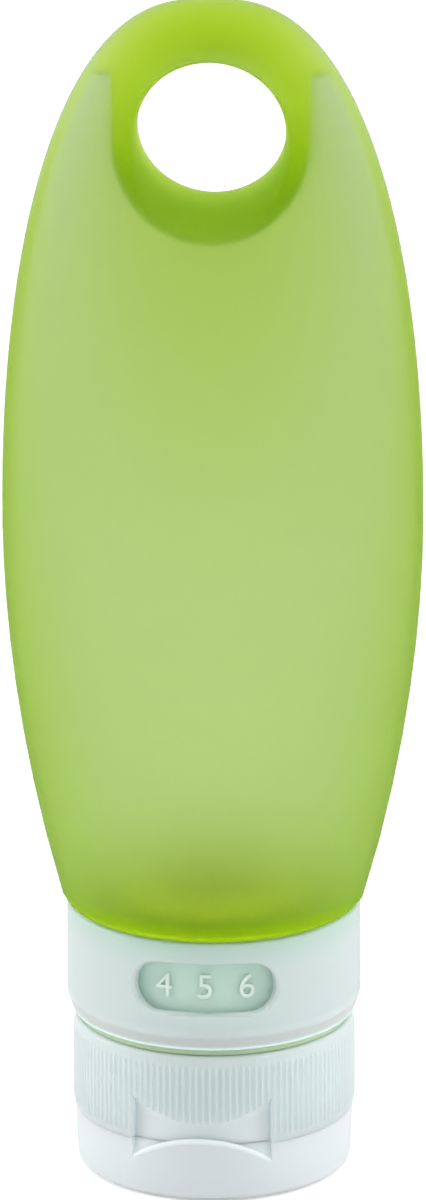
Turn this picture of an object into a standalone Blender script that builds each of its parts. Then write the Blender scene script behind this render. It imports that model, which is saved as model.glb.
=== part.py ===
"""A travel squeeze bottle that stands upside down on its flip cap.

The body is soft translucent silicone, flattened towards the top, where a hanging hole
goes through a solid boss. Its neck goes down through a numbered dial and a collar with a
window, and is stiffened by a rigid insert whose lower end has the thread. The cap screws
on to that thread, holds a slit valve in its spout, and is closed by a flip lid.

Metres, +Z up. The origin is the centre of the lid's flat outer face, on the ground, and
the front of the bottle faces -Y.
"""

import math

import bmesh
import bpy
from mathutils import Matrix, Vector

# Clearances
SEAT_GAP = 0.0003
THREAD_GAP = 0.0003
OVERRUN = 0.002
SUNK = 0.0003
MERGE = 0.000001

# Flip lid
LID_RADIUS = 0.0175
LID_FOOT_RADIUS = 0.0172
LID_HEIGHT = 0.0072
LID_WALL = 0.0018
LID_FLOOR = 0.0014
LID_FOOT_FILLET = 0.0011
LID_INSIDE_FILLET = 0.0005
SEAL_RING_WALL = 0.0009
SEAL_RING_HEIGHT = 0.0040
NUB_RADIUS = 0.0024
NUB_FILLET = 0.0006

# Screw cap
CAP_RADIUS = 0.0178
CAP_HEIGHT = 0.0120
CAP_DECK = 0.0016
CAP_LIP_FILLET = 0.0005
CAP_EDGE_FILLET = 0.0002
CAP_TURN = math.radians(-2.9)
RIB_COUNT = 132
RIB_HEIGHT = 0.00025
RIB_BASE_WIDTH = 0.00044
RIB_CREST_WIDTH = 0.00020
RIBS_ABOVE_EDGE = 0.0007
RIBS_BELOW_LIP = 0.0013
LOCATING_WALL = 0.0009
LOCATING_DEPTH = 0.0013
SPOUT_RADIUS = 0.0066
SPOUT_WALL = 0.0014
SPOUT_LENGTH = 0.0039
SOCKET_WALL = 0.0012
SOCKET_HEIGHT = 0.0028

# Thumb notch, across the parting line of cap and lid
NOTCH_HALF_WIDTH = 0.0090
NOTCH_TOP_MIDDLE = 0.0105
NOTCH_TOP_END = 0.0133
NOTCH_LOW_MIDDLE = 0.0078
NOTCH_LOW_END = 0.0046
NOTCH_DEPTH = 0.0014
NOTCH_SCOOP_RADIUS = 0.0140
NOTCH_SCOOP_HEIGHT = 0.0100
NOTCH_DRAFT = math.radians(25)
LIP_THICKNESS = 0.0006
LIP_RISE = 0.0014
LIP_SPAN = math.radians(36)

# Living hinge strap at the back
STRAP_WIDTH = 0.0100
STRAP_THICKNESS = 0.0005
STRAP_FOLD_THICKNESS = 0.0003
STRAP_FOLD_HEIGHT = 0.0010
STRAP_HEIGHT = 0.0050
LAND_MARGIN = 0.0004
LAND_DEPTH = 0.0014
LAND_STEP = 0.0003

# Thread between cap and neck insert
THREAD_RADIUS = 0.0153
THREAD_DEPTH = 0.0013
THREAD_PITCH = 0.0032
THREAD_BASE_WIDTH = 0.0015
THREAD_CREST_WIDTH = 0.0007
NECK_THREAD_TURNS = 1.5
CAP_THREAD_TURNS = 1.25
NECK_THREAD_START = 0.0012

# Neck insert, cap seal and valve
INSERT_BORE = 0.0103
INSERT_SLEEVE_WALL = 0.0019
INSERT_FLANGE = 0.0009
INSERT_REACH = 0.0005
SEAL_THICKNESS = 0.0007
SEAL_OVERHANG = 0.0010
VALVE_FLANGE = 0.0010
VALVE_FLANGE_RADIUS = 0.0072
VALVE_WALL = 0.0007
VALVE_FACE = 0.0008
VALVE_RECESS = 0.0007
VALVE_SLIT_LENGTH = 0.0044
VALVE_SLIT_WIDTH = 0.0002
RETAINER_HEIGHT = 0.0014
RETAINER_WALL = 0.0028

# Silicone neck, label dial and collar
NECK_WALL = 0.0019
BEAD_RADIUS = 0.01695
BEAD_HEIGHT = 0.0010
DIAL_RADIUS = 0.0167
DIAL_NUMBERS = 20
DIAL_FRONT_NUMBER = 5
NUMBER_HEIGHT = 0.0032
NUMBER_RISE = 0.00025
DIGIT_SHARE = 0.72
COLLAR_RADIUS = 0.0185
COLLAR_FOOT_RADIUS = 0.0178
COLLAR_TAPER = 0.0020
COLLAR_HEIGHT = 0.0143
COLLAR_LEDGE = 0.0008
COLLAR_GAP = 0.0010
COLLAR_TOP_FILLET = 0.0002
COLLAR_TAPER_FILLET = 0.0015
COLLAR_FOOT_FILLET = 0.0002
WINDOW_WIDTH = 0.0182
WINDOW_HEIGHT = 0.0066
WINDOW_ABOVE_FOOT = 0.0082
WINDOW_TURN = math.radians(-0.8)

# Silicone body
BOTTLE_TOP = 0.1530
BODY_WIDTH = 0.0528
BODY_DEPTH = 0.0387
BODY_FOOT_RADIUS = 0.0189
BODY_FOOT_FILLET = 0.0008
WIDEST_HEIGHT = 0.0860
BODY_WALL = 0.0024
SHOULDER_THICKNESS = 0.0016
CAVITY_TOP_GAP = 0.0096
CAVITY_FILLET = 0.0010
NOSE_RADIUS = 0.0046

# Hanging hole
HOLE_RADIUS = 0.0093
HOLE_BELOW_TOP = 0.0167
HOLE_FLARE = 0.0130
HOLE_LAND = 0.0010
HOLE_FLARE_ANGLE = math.radians(80)
BOSS_WALL = 0.00305
BOSS_DROP = 0.0010

# Shape of the body's outline: powers of its curves
LOWER_POWER = 1.95
DOME_WIDTH_POWER = 2.57
DOME_HEIGHT_POWER = 2.1

# Half depth of the body, as (share of its height, share of half its depth)
DEPTH_SHARES = (
    (0.00, 0.966),
    (0.10, 1.000),
    (0.30, 0.935),
    (0.50, 0.765),
    (0.65, 0.600),
    (0.76, 0.450),
    (0.86, 0.310),
    (0.94, 0.250),
    (1.00, 0.235),
)

# Counts
SEGMENTS = 36
BODY_SEGMENTS = 40
CAVITY_SEGMENTS = 32
LOWER_RINGS = 7
DOME_RINGS = 13
CAVITY_LOWER_RINGS = 5
CAVITY_DOME_RINGS = 7
ARC_STEPS = 2
HOLE_STEPS = 4
THREAD_STEPS_A_TURN = 36
NOTCH_STEPS = 10
SCOOP_STEPS = 8
WINDOW_STEPS = 6
DOME_END_ANGLE = math.radians(89)
SMOOTH_ANGLE = math.radians(35)

# Heights that follow from the stack of pieces, from the ground up
CAP_FOOT = LID_HEIGHT + SEAT_GAP
CAP_TOP = CAP_FOOT + CAP_HEIGHT
DECK_TOP = CAP_FOOT + CAP_DECK
SPOUT_MOUTH = CAP_FOOT - SPOUT_LENGTH
SEAL_FOOT = DECK_TOP + SEAT_GAP
INSERT_RIM = SEAL_FOOT + SEAL_THICKNESS + SEAT_GAP
VALVE_TOP = DECK_TOP + SEAT_GAP + VALVE_FLANGE
VALVE_FOOT = SPOUT_MOUTH + VALVE_RECESS
BEAD_FOOT = CAP_TOP + SEAT_GAP
BEAD_TOP = BEAD_FOOT + BEAD_HEIGHT
COLLAR_FOOT = CAP_TOP + COLLAR_GAP
COLLAR_TOP = COLLAR_FOOT + COLLAR_HEIGHT
LEDGE_FOOT = BEAD_TOP + SEAT_GAP
LEDGE_TOP = LEDGE_FOOT + COLLAR_LEDGE
SHOULDER = COLLAR_TOP + SEAT_GAP
CAVITY_FLOOR = SHOULDER + SHOULDER_THICKNESS
HOLE_HEIGHT = BOTTLE_TOP - HOLE_BELOW_TOP
BOSS_HEIGHT = HOLE_HEIGHT - BOSS_DROP
WINDOW_HEIGHT_UP = COLLAR_FOOT + WINDOW_ABOVE_FOOT

# Radii that follow from what each piece fits
SKIRT_RADIUS = CAP_RADIUS - RIB_HEIGHT
THREAD_ROOT = THREAD_RADIUS - THREAD_DEPTH
CAP_BORE = THREAD_RADIUS + THREAD_GAP
CAP_THREAD_CREST = THREAD_ROOT + THREAD_GAP
INSERT_SLEEVE = INSERT_BORE + INSERT_SLEEVE_WALL
NECK_BORE = INSERT_SLEEVE + SEAT_GAP
NECK_RADIUS = NECK_BORE + NECK_WALL
DIAL_BORE = NECK_RADIUS + SEAT_GAP
COLLAR_BORE = DIAL_RADIUS + NUMBER_RISE + SEAT_GAP
SPOUT_BORE = SPOUT_RADIUS - SPOUT_WALL
VALVE_RADIUS = SPOUT_BORE - SEAT_GAP
SOCKET_BORE = VALVE_FLANGE_RADIUS + SEAT_GAP
LOCATING_RADIUS = LID_RADIUS - LID_WALL - SEAT_GAP
NOTCH_FLOOR = CAP_RADIUS - NOTCH_DEPTH
BOSS_RADIUS = HOLE_RADIUS + BOSS_WALL

# The hinge axis runs along the strap's middle plane, at the parting line
LAND_FACE = CAP_RADIUS
STRAP_INSIDE = LAND_FACE + SEAT_GAP
HINGE_BACK = STRAP_INSIDE + STRAP_THICKNESS / 2
HINGE_HEIGHT = LID_HEIGHT + SEAT_GAP / 2

GREEN = (0.37, 0.61, 0.06, 1.0)
TINTED = (0.36, 0.62, 0.10, 1.0)
FROSTED = (0.80, 0.86, 0.87, 1.0)
CLEAR_SILICONE = (0.78, 0.80, 0.80, 1.0)
WHITE = (0.86, 0.88, 0.88, 1.0)


def clear_scene():
    for old in list(bpy.data.objects):
        bpy.data.objects.remove(old)


def material(name, colour, roughness):
    made = bpy.data.materials.new(name)
    made.use_nodes = True
    shader = made.node_tree.nodes["Principled BSDF"]
    shader.inputs["Base Color"].default_value = colour
    shader.inputs["Roughness"].default_value = roughness
    shader.inputs["Metallic"].default_value = 0.0
    made.diffuse_color = colour
    return made


def rounded(corners):
    """The outline through corners given as (across, up, fillet), each fillet as an arc."""
    outline = []
    for index, (across, up, fillet) in enumerate(corners):
        here = Vector((across, up))
        if fillet == 0:
            outline.append(here)
            continue
        before = (Vector(corners[index - 1][:2]) - here).normalized()
        after = (Vector(corners[(index + 1) % len(corners)][:2]) - here).normalized()
        half = before.angle(after) / 2
        centre = here + (before + after).normalized() * (fillet / math.sin(half))
        start = here + before * (fillet / math.tan(half)) - centre
        end = here + after * (fillet / math.tan(half)) - centre
        first = math.atan2(start.y, start.x)
        swing = math.remainder(math.atan2(end.y, end.x) - first, math.tau)
        for step in range(ARC_STEPS + 1):
            angle = first + swing * step / ARC_STEPS
            outline.append(centre + Vector((math.cos(angle), math.sin(angle))) * fillet)
    return outline


def tidy(mesh):
    bmesh.ops.remove_doubles(mesh, verts=mesh.verts, dist=MERGE)
    bmesh.ops.recalc_face_normals(mesh, faces=mesh.faces)
    return mesh


def turned(outline, closed=True, segments=SEGMENTS):
    """An outline of (radius, height) spun round the Z axis. An open one starts and ends on it."""
    mesh = bmesh.new()
    verts = [mesh.verts.new((radius, 0, height)) for radius, height in outline]
    pairs = list(zip(verts, verts[1:]))
    if closed:
        pairs.append((verts[-1], verts[0]))
    edges = [mesh.edges.new(pair) for pair in pairs]
    bmesh.ops.spin(
        mesh, geom=verts + edges, cent=(0, 0, 0), axis=(0, 0, 1),
        angle=math.tau, steps=segments, use_merge=True,
    )
    return tidy(mesh)


def swept(outline, start, angle, steps, rise=0.0):
    """A solid swept round the Z axis from a face of (radius, height), climbing by rise in all."""
    mesh = bmesh.new()
    turn = Matrix.Rotation(start, 3, "Z")
    face = mesh.faces.new([mesh.verts.new(turn @ Vector((x, 0, z))) for x, z in outline])
    bmesh.ops.spin(
        mesh, geom=[*face.verts, *face.edges, face], cent=(0, 0, 0), axis=(0, 0, 1),
        dvec=(0, 0, rise / steps), angle=angle, steps=steps, use_merge=False,
    )
    return tidy(mesh)


def prism(points, along, mesh=None):
    """A face through the points, extruded by the vector along. It joins a given mesh."""
    mesh = mesh or bmesh.new()
    face = mesh.faces.new([mesh.verts.new(point) for point in points])
    made = bmesh.ops.extrude_face_region(mesh, geom=[face])
    moved = [item for item in made["geom"] if isinstance(item, bmesh.types.BMVert)]
    bmesh.ops.translate(mesh, verts=moved, vec=along)
    return tidy(mesh)


def loft(rings):
    """Rings of points skinned one to the next, with a face over each end."""
    mesh = bmesh.new()
    lower = [mesh.verts.new(point) for point in rings[0]]
    mesh.faces.new(lower)
    for ring in rings[1:]:
        upper = [mesh.verts.new(point) for point in ring]
        for i in range(len(ring)):
            mesh.faces.new((lower[i - 1], lower[i], upper[i], upper[i - 1]))
        lower = upper
    mesh.faces.new(lower)
    bmesh.ops.recalc_face_normals(mesh, faces=mesh.faces)
    return mesh


def place(name, mesh, finish=None, parent=None, origin=(0, 0, 0)):
    """An object for the mesh, with its own origin, under a parent empty."""
    bmesh.ops.translate(mesh, verts=mesh.verts, vec=-Vector(origin))
    data = bpy.data.meshes.new(name)
    mesh.to_mesh(data)
    mesh.free()
    made = bpy.data.objects.new(name, data)
    bpy.context.collection.objects.link(made)
    made.parent = parent
    made.location = origin
    if finish:
        data.materials.append(finish)
        data.shade_smooth()
        data.set_sharp_from_angle(angle=SMOOTH_ANGLE)
    else:
        made.hide_render = True
        made.display_type = "WIRE"
    return made


def combine(target, other, operation):
    boolean = target.modifiers.new(f"{operation}_{other.name}", "BOOLEAN")
    boolean.operation = operation
    boolean.solver = "EXACT"
    boolean.object = other


def axis_empty(name, origin, turn=0.0):
    made = bpy.data.objects.new(name, None)
    bpy.context.collection.objects.link(made)
    made.location = origin
    made.rotation_euler = (0, 0, turn)
    return made


def depth_at(height):
    """Half the body's depth at a height, on a smooth curve through the table of shares."""
    share = (height - SHOULDER) / (BOTTLE_TOP - SHOULDER)
    share = min(max(share, 0.0), 1.0)
    count = len(DEPTH_SHARES)
    index = 0
    while index < count - 2 and share > DEPTH_SHARES[index + 1][0]:
        index += 1

    def slope(place_in_table):
        low = DEPTH_SHARES[max(place_in_table - 1, 0)]
        high = DEPTH_SHARES[min(place_in_table + 1, count - 1)]
        return (high[1] - low[1]) / (high[0] - low[0])

    (start, first), (end, last) = DEPTH_SHARES[index], DEPTH_SHARES[index + 1]
    span = end - start
    t = (share - start) / span
    value = (
        first * (2 * t**3 - 3 * t**2 + 1)
        + slope(index) * span * (t**3 - 2 * t**2 + t)
        + last * (3 * t**2 - 2 * t**3)
        + slope(index + 1) * span * (t**3 - t**2)
    )
    half_depth = value * BODY_DEPTH / 2
    into_nose = max(0.0, height - (BOTTLE_TOP - NOSE_RADIUS)) / NOSE_RADIUS
    return half_depth * math.sqrt(max(0.0, 1 - into_nose**2))


def lower_width_at(height):
    """Half the body's width below its widest height."""
    left = (WIDEST_HEIGHT - height) / (WIDEST_HEIGHT - SHOULDER)
    return BODY_WIDTH / 2 - (BODY_WIDTH / 2 - BODY_FOOT_RADIUS) * left**LOWER_POWER


def dome_point(angle):
    """Half the body's width, and the height, at an angle up the dome from its widest height."""
    half_width = BODY_WIDTH / 2 * math.cos(angle) ** (2 / DOME_WIDTH_POWER)
    climb = (BOTTLE_TOP - WIDEST_HEIGHT) * math.sin(angle) ** (2 / DOME_HEIGHT_POWER)
    return half_width, WIDEST_HEIGHT + climb


def dome_angle_at(height):
    share = (height - WIDEST_HEIGHT) / (BOTTLE_TOP - WIDEST_HEIGHT)
    return math.asin(share ** (DOME_HEIGHT_POWER / 2))


def ellipse(half_width, half_depth, height, segments):
    turns = [math.tau * step / segments for step in range(segments)]
    return [
        Vector((half_width * math.cos(turn), half_depth * math.sin(turn), height))
        for turn in turns
    ]


def body_outside():
    """The neck with its bead, the shoulder, and the body up to its nose."""
    foot = SHOULDER + BODY_FOOT_FILLET
    sizes = [
        (BEAD_RADIUS, BEAD_RADIUS, BEAD_FOOT),
        (BEAD_RADIUS, BEAD_RADIUS, BEAD_TOP),
        (NECK_RADIUS, NECK_RADIUS, BEAD_TOP),
        (NECK_RADIUS, NECK_RADIUS, SHOULDER),
    ]
    for step in range(ARC_STEPS):
        angle = math.pi / 2 * step / ARC_STEPS
        inward = BODY_FOOT_FILLET * (1 - math.sin(angle))
        height = SHOULDER + BODY_FOOT_FILLET * (1 - math.cos(angle))
        sizes.append((BODY_FOOT_RADIUS - inward, depth_at(height) - inward, height))
    for step in range(LOWER_RINGS):
        height = foot + (WIDEST_HEIGHT - foot) * step / LOWER_RINGS
        sizes.append((lower_width_at(height), depth_at(height), height))
    for step in range(DOME_RINGS + 1):
        half_width, height = dome_point(DOME_END_ANGLE * step / DOME_RINGS)
        sizes.append((half_width, depth_at(height), height))
    return loft([ellipse(*size, BODY_SEGMENTS) for size in sizes])


def body_cavity():
    """The space inside the body and its neck, open at the bottom."""
    start = CAVITY_FLOOR + CAVITY_FILLET
    sizes = [
        (NECK_BORE, NECK_BORE, BEAD_FOOT - OVERRUN),
        (NECK_BORE, NECK_BORE, CAVITY_FLOOR),
    ]
    floor_width = lower_width_at(start) - BODY_WALL - CAVITY_FILLET
    floor_depth = depth_at(start) - BODY_WALL - CAVITY_FILLET
    sizes.append((floor_width, floor_depth, CAVITY_FLOOR))
    for step in range(CAVITY_LOWER_RINGS):
        height = start + (WIDEST_HEIGHT - start) * step / CAVITY_LOWER_RINGS
        sizes.append((lower_width_at(height) - BODY_WALL, depth_at(height) - BODY_WALL, height))
    end_angle = dome_angle_at(BOTTLE_TOP - CAVITY_TOP_GAP)
    for step in range(CAVITY_DOME_RINGS + 1):
        half_width, height = dome_point(end_angle * step / CAVITY_DOME_RINGS)
        sizes.append((half_width - BODY_WALL, depth_at(height) - BODY_WALL, height))
    return loft([ellipse(*size, CAVITY_SEGMENTS) for size in sizes])


def hole_boss():
    """The solid silicone round the hanging hole: a U that is open to the top."""
    outline = []
    for step in range(SEGMENTS // 2 + 1):
        angle = math.pi + math.pi * step / (SEGMENTS // 2)
        across = BOSS_RADIUS * math.cos(angle)
        outline.append((across, BOSS_HEIGHT + BOSS_RADIUS * math.sin(angle)))
    outline.append((BOSS_RADIUS, BOTTLE_TOP))
    outline.append((-BOSS_RADIUS, BOTTLE_TOP))
    points = [(across, -BODY_DEPTH / 2, height) for across, height in outline]
    return prism(points, (0, BODY_DEPTH, 0))


def hanging_hole():
    """The hole through the boss, flared towards both faces."""
    reach = HOLE_LAND + HOLE_FLARE
    side = [(HOLE_RADIUS + HOLE_FLARE, reach)]
    for step in range(HOLE_STEPS, -1, -1):
        angle = HOLE_FLARE_ANGLE * step / HOLE_STEPS
        radius = HOLE_RADIUS + HOLE_FLARE * (1 - math.cos(angle))
        side.append((radius, HOLE_LAND + HOLE_FLARE * math.sin(angle)))
    mirrored = [(radius, -across) for radius, across in reversed(side)]
    mesh = turned([(0, reach), *side, *mirrored, (0, -reach)], closed=False)
    upright = Matrix.Translation((0, 0, HOLE_HEIGHT)) @ Matrix.Rotation(math.pi / 2, 4, "X")
    bmesh.ops.transform(mesh, matrix=upright, verts=mesh.verts)
    return mesh


def make_bottle_body(green):
    body = place("bottle_body", body_outside(), green)
    cavity = place("cavity_cutter", body_cavity())
    combine(cavity, place("boss_keeper", hole_boss()), "DIFFERENCE")
    combine(body, cavity, "DIFFERENCE")
    combine(body, place("hole_cutter", hanging_hole()), "DIFFERENCE")


def thread_ridge(root, crest, middle, turns):
    """A helical ridge from its sunk root to its crest, its first end centred at a height."""
    inward = math.copysign(SUNK, root - crest)
    outline = [
        (root + inward, middle - THREAD_BASE_WIDTH / 2),
        (crest, middle - THREAD_CREST_WIDTH / 2),
        (crest, middle + THREAD_CREST_WIDTH / 2),
        (root + inward, middle + THREAD_BASE_WIDTH / 2),
    ]
    steps = round(THREAD_STEPS_A_TURN * turns)
    return swept(outline, 0.0, math.tau * turns, steps, THREAD_PITCH * turns)


def make_neck_insert(tinted):
    flange_foot = CAP_TOP - INSERT_FLANGE
    corners = [
        (INSERT_BORE, INSERT_RIM, 0),
        (THREAD_ROOT, INSERT_RIM, 0),
        (THREAD_ROOT, flange_foot, 0),
        (THREAD_RADIUS, flange_foot, 0),
        (THREAD_RADIUS, CAP_TOP, 0),
        (INSERT_SLEEVE, CAP_TOP, 0),
        (INSERT_SLEEVE, CAVITY_FLOOR + INSERT_REACH, 0),
        (INSERT_BORE, CAVITY_FLOOR + INSERT_REACH, 0),
    ]
    insert = place("neck_insert", turned(rounded(corners)), tinted)
    start = INSERT_RIM + NECK_THREAD_START
    ridge = thread_ridge(THREAD_ROOT, THREAD_RADIUS, start, NECK_THREAD_TURNS)
    combine(insert, place("neck_thread", ridge), "UNION")


def dial_numbers():
    """The raised numbers round the dial, with one of them centred in the window."""
    numbers = bmesh.new()
    for number in range(1, DIAL_NUMBERS + 1):
        text = bpy.data.curves.new("number", "FONT")
        text.body = str(number)
        text.align_x = "CENTER"
        text.align_y = "CENTER"
        text.resolution_u = 1
        text.size = NUMBER_HEIGHT / DIGIT_SHARE
        text.extrude = (NUMBER_RISE + SUNK) / 2
        holder = bpy.data.objects.new("number", text)
        glyph = bpy.data.meshes.new_from_object(holder)
        bpy.data.objects.remove(holder)
        heights = [vertex.co.y for vertex in glyph.vertices]
        centre = (min(heights) + max(heights)) / 2
        step = math.tau / DIAL_NUMBERS * (number - DIAL_FRONT_NUMBER)
        middle = DIAL_RADIUS + (NUMBER_RISE - SUNK) / 2
        stand = (
            Matrix.Rotation(WINDOW_TURN + step, 4, "Z")
            @ Matrix.Translation((0, -middle, WINDOW_HEIGHT_UP - centre))
            @ Matrix.Rotation(math.pi / 2, 4, "X")
        )
        glyph.transform(stand)
        numbers.from_mesh(glyph)
    return tidy(numbers)


def make_label_ring(white):
    foot = LEDGE_TOP + SEAT_GAP
    corners = [
        (DIAL_BORE, foot, 0),
        (DIAL_RADIUS, foot, 0),
        (DIAL_RADIUS, COLLAR_TOP, 0),
        (DIAL_BORE, COLLAR_TOP, 0),
    ]
    ring = place("label_ring", turned(rounded(corners)), white)
    combine(ring, place("dial_numbers", dial_numbers()), "UNION")


def window_outline():
    """A stadium, in the plane of across and up."""
    radius = WINDOW_HEIGHT / 2
    reach = WINDOW_WIDTH / 2 - radius
    outline = []
    for side in (1, -1):
        for step in range(WINDOW_STEPS + 1):
            angle = math.pi * step / WINDOW_STEPS - math.pi / 2
            across = side * (reach + radius * math.cos(angle))
            outline.append((across, WINDOW_HEIGHT_UP + side * radius * math.sin(angle)))
    return outline


def make_collar(frosted):
    axis = axis_empty("collar_axis", (0, 0, COLLAR_FOOT), WINDOW_TURN)
    corners = [
        (COLLAR_BORE, COLLAR_FOOT, 0),
        (COLLAR_FOOT_RADIUS, COLLAR_FOOT, COLLAR_FOOT_FILLET),
        (COLLAR_RADIUS, COLLAR_FOOT + COLLAR_TAPER, COLLAR_TAPER_FILLET),
        (COLLAR_RADIUS, COLLAR_TOP, COLLAR_TOP_FILLET),
        (COLLAR_BORE, COLLAR_TOP, 0),
        (COLLAR_BORE, LEDGE_TOP, 0),
        (DIAL_BORE, LEDGE_TOP, 0),
        (DIAL_BORE, LEDGE_FOOT, 0),
        (COLLAR_BORE, LEDGE_FOOT, 0),
    ]
    sleeve = turned(rounded(corners))
    bmesh.ops.translate(sleeve, verts=sleeve.verts, vec=(0, 0, -COLLAR_FOOT))
    collar = place("collar", sleeve, frosted, axis)
    front = -COLLAR_RADIUS - OVERRUN
    points = [(across, front, up - COLLAR_FOOT) for across, up in window_outline()]
    cutter = prism(points, (0, COLLAR_RADIUS / 2, 0))
    combine(collar, place("window_cutter", cutter, None, axis), "DIFFERENCE")


def arc_height(across, middle, end):
    """The height on an arc that passes its middle height, and its end height at the notch's sides."""
    rise = end - middle
    radius = (NOTCH_HALF_WIDTH**2 + rise**2) / (2 * abs(rise))
    drop = radius - math.sqrt(radius**2 - min(across**2, radius**2))
    return middle + math.copysign(drop, rise)


def notch_cutter(arc_middle, arc_end, far):
    """What the thumb notch takes from the cap, under an arc, or from the lid, over one.

    Its sides slope in towards the bottle's axis, and it stops at the scooped floor.
    """
    rings = []
    surface = math.sqrt(CAP_RADIUS**2 - NOTCH_HALF_WIDTH**2)
    for front in (CAP_RADIUS + OVERRUN, surface - NOTCH_HALF_WIDTH / 2):
        widening = (front - surface) * math.tan(NOTCH_DRAFT)
        half_width = NOTCH_HALF_WIDTH + widening
        ring = [Vector((half_width, -front, far)), Vector((-half_width, -front, far))]
        for step in range(NOTCH_STEPS + 1):
            across = half_width * (2 * step / NOTCH_STEPS - 1)
            ring.append(Vector((across, -front, arc_height(across, arc_middle, arc_end))))
        rings.append(ring)
    return loft(rings)


def notch_floor():
    """The turned core under the notch, whose side is scooped towards the middle of the notch."""
    low = -OVERRUN
    high = CAP_TOP
    side = []
    for step in range(SCOOP_STEPS + 1):
        height = low + (high - low) * step / SCOOP_STEPS
        off = min(abs(height - NOTCH_SCOOP_HEIGHT), NOTCH_SCOOP_RADIUS)
        out = NOTCH_SCOOP_RADIUS - math.sqrt(NOTCH_SCOOP_RADIUS**2 - off**2)
        side.append((NOTCH_FLOOR + out, height))
    return turned([(0, low), *side, (0, high)], closed=False, segments=SEGMENTS * 2)


def cap_ribs():
    """The grip ribs round the skirt, but not across the hinge's land."""
    ribs = bmesh.new()
    inside = SKIRT_RADIUS - SUNK
    foot = CAP_FOOT + RIBS_ABOVE_EDGE
    height = CAP_HEIGHT - RIBS_ABOVE_EDGE - RIBS_BELOW_LIP
    land = math.asin((STRAP_WIDTH / 2 + LAND_MARGIN + RIB_BASE_WIDTH) / CAP_RADIUS)
    for number in range(RIB_COUNT):
        angle = math.tau * (number + 1 / 2) / RIB_COUNT
        if abs(math.remainder(angle - math.pi / 2, math.tau)) < land:
            continue
        turn = Matrix.Rotation(angle, 3, "Z")
        plan = [
            (inside, -RIB_BASE_WIDTH / 2),
            (CAP_RADIUS, -RIB_CREST_WIDTH / 2),
            (CAP_RADIUS, RIB_CREST_WIDTH / 2),
            (inside, RIB_BASE_WIDTH / 2),
        ]
        verts = [ribs.verts.new(turn @ Vector((out, across, foot))) for out, across in plan]
        face = ribs.faces.new(verts)
        made = bmesh.ops.extrude_face_region(ribs, geom=[face])
        moved = [item for item in made["geom"] if isinstance(item, bmesh.types.BMVert)]
        bmesh.ops.translate(ribs, verts=moved, vec=(0, 0, height))
    return tidy(ribs)


def hinge_land(foot, top):
    """A flat pad at the back for the hinge strap, between two heights."""
    half_width = STRAP_WIDTH / 2 + LAND_MARGIN
    inside = LAND_FACE - LAND_DEPTH
    points = [
        (-half_width, inside, foot),
        (half_width, inside, foot),
        (half_width, LAND_FACE, foot),
        (-half_width, LAND_FACE, foot),
    ]
    return prism(points, (0, 0, top - foot))


def make_cap_base(frosted, axis, scoop):
    corners = [
        (SKIRT_RADIUS, CAP_FOOT, CAP_EDGE_FILLET),
        (SKIRT_RADIUS, CAP_TOP, CAP_LIP_FILLET),
        (CAP_BORE, CAP_TOP, CAP_EDGE_FILLET),
        (CAP_BORE, DECK_TOP, 0),
        (SOCKET_BORE + SOCKET_WALL, DECK_TOP, 0),
        (SOCKET_BORE + SOCKET_WALL, DECK_TOP + SOCKET_HEIGHT, 0),
        (SOCKET_BORE, DECK_TOP + SOCKET_HEIGHT, 0),
        (SOCKET_BORE, DECK_TOP, 0),
        (SPOUT_BORE, DECK_TOP, 0),
        (SPOUT_BORE, SPOUT_MOUTH, 0),
        (SPOUT_RADIUS, SPOUT_MOUTH, CAP_EDGE_FILLET),
        (SPOUT_RADIUS, CAP_FOOT, 0),
        (LOCATING_RADIUS - LOCATING_WALL, CAP_FOOT, 0),
        (LOCATING_RADIUS - LOCATING_WALL, CAP_FOOT - LOCATING_DEPTH, 0),
        (LOCATING_RADIUS, CAP_FOOT - LOCATING_DEPTH, CAP_EDGE_FILLET),
        (LOCATING_RADIUS, CAP_FOOT, 0),
    ]
    cap = place("cap_base", turned(rounded(corners)), frosted, axis)
    start = INSERT_RIM + NECK_THREAD_START + THREAD_PITCH / 2
    ridge = thread_ridge(CAP_BORE, CAP_THREAD_CREST, start, CAP_THREAD_TURNS)
    combine(cap, place("cap_thread", ridge, None, axis), "UNION")
    combine(cap, place("cap_ribs", cap_ribs(), None, axis), "UNION")
    foot = CAP_FOOT + LAND_STEP
    top = HINGE_HEIGHT + STRAP_HEIGHT / 2 + LAND_MARGIN
    combine(cap, place("cap_land", hinge_land(foot, top), None, axis), "UNION")
    under = notch_cutter(NOTCH_TOP_MIDDLE, NOTCH_TOP_END, CAP_FOOT - OVERRUN)
    cutter = place("cap_notch", under, None, axis)
    combine(cutter, scoop, "DIFFERENCE")
    combine(cap, cutter, "DIFFERENCE")


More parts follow.
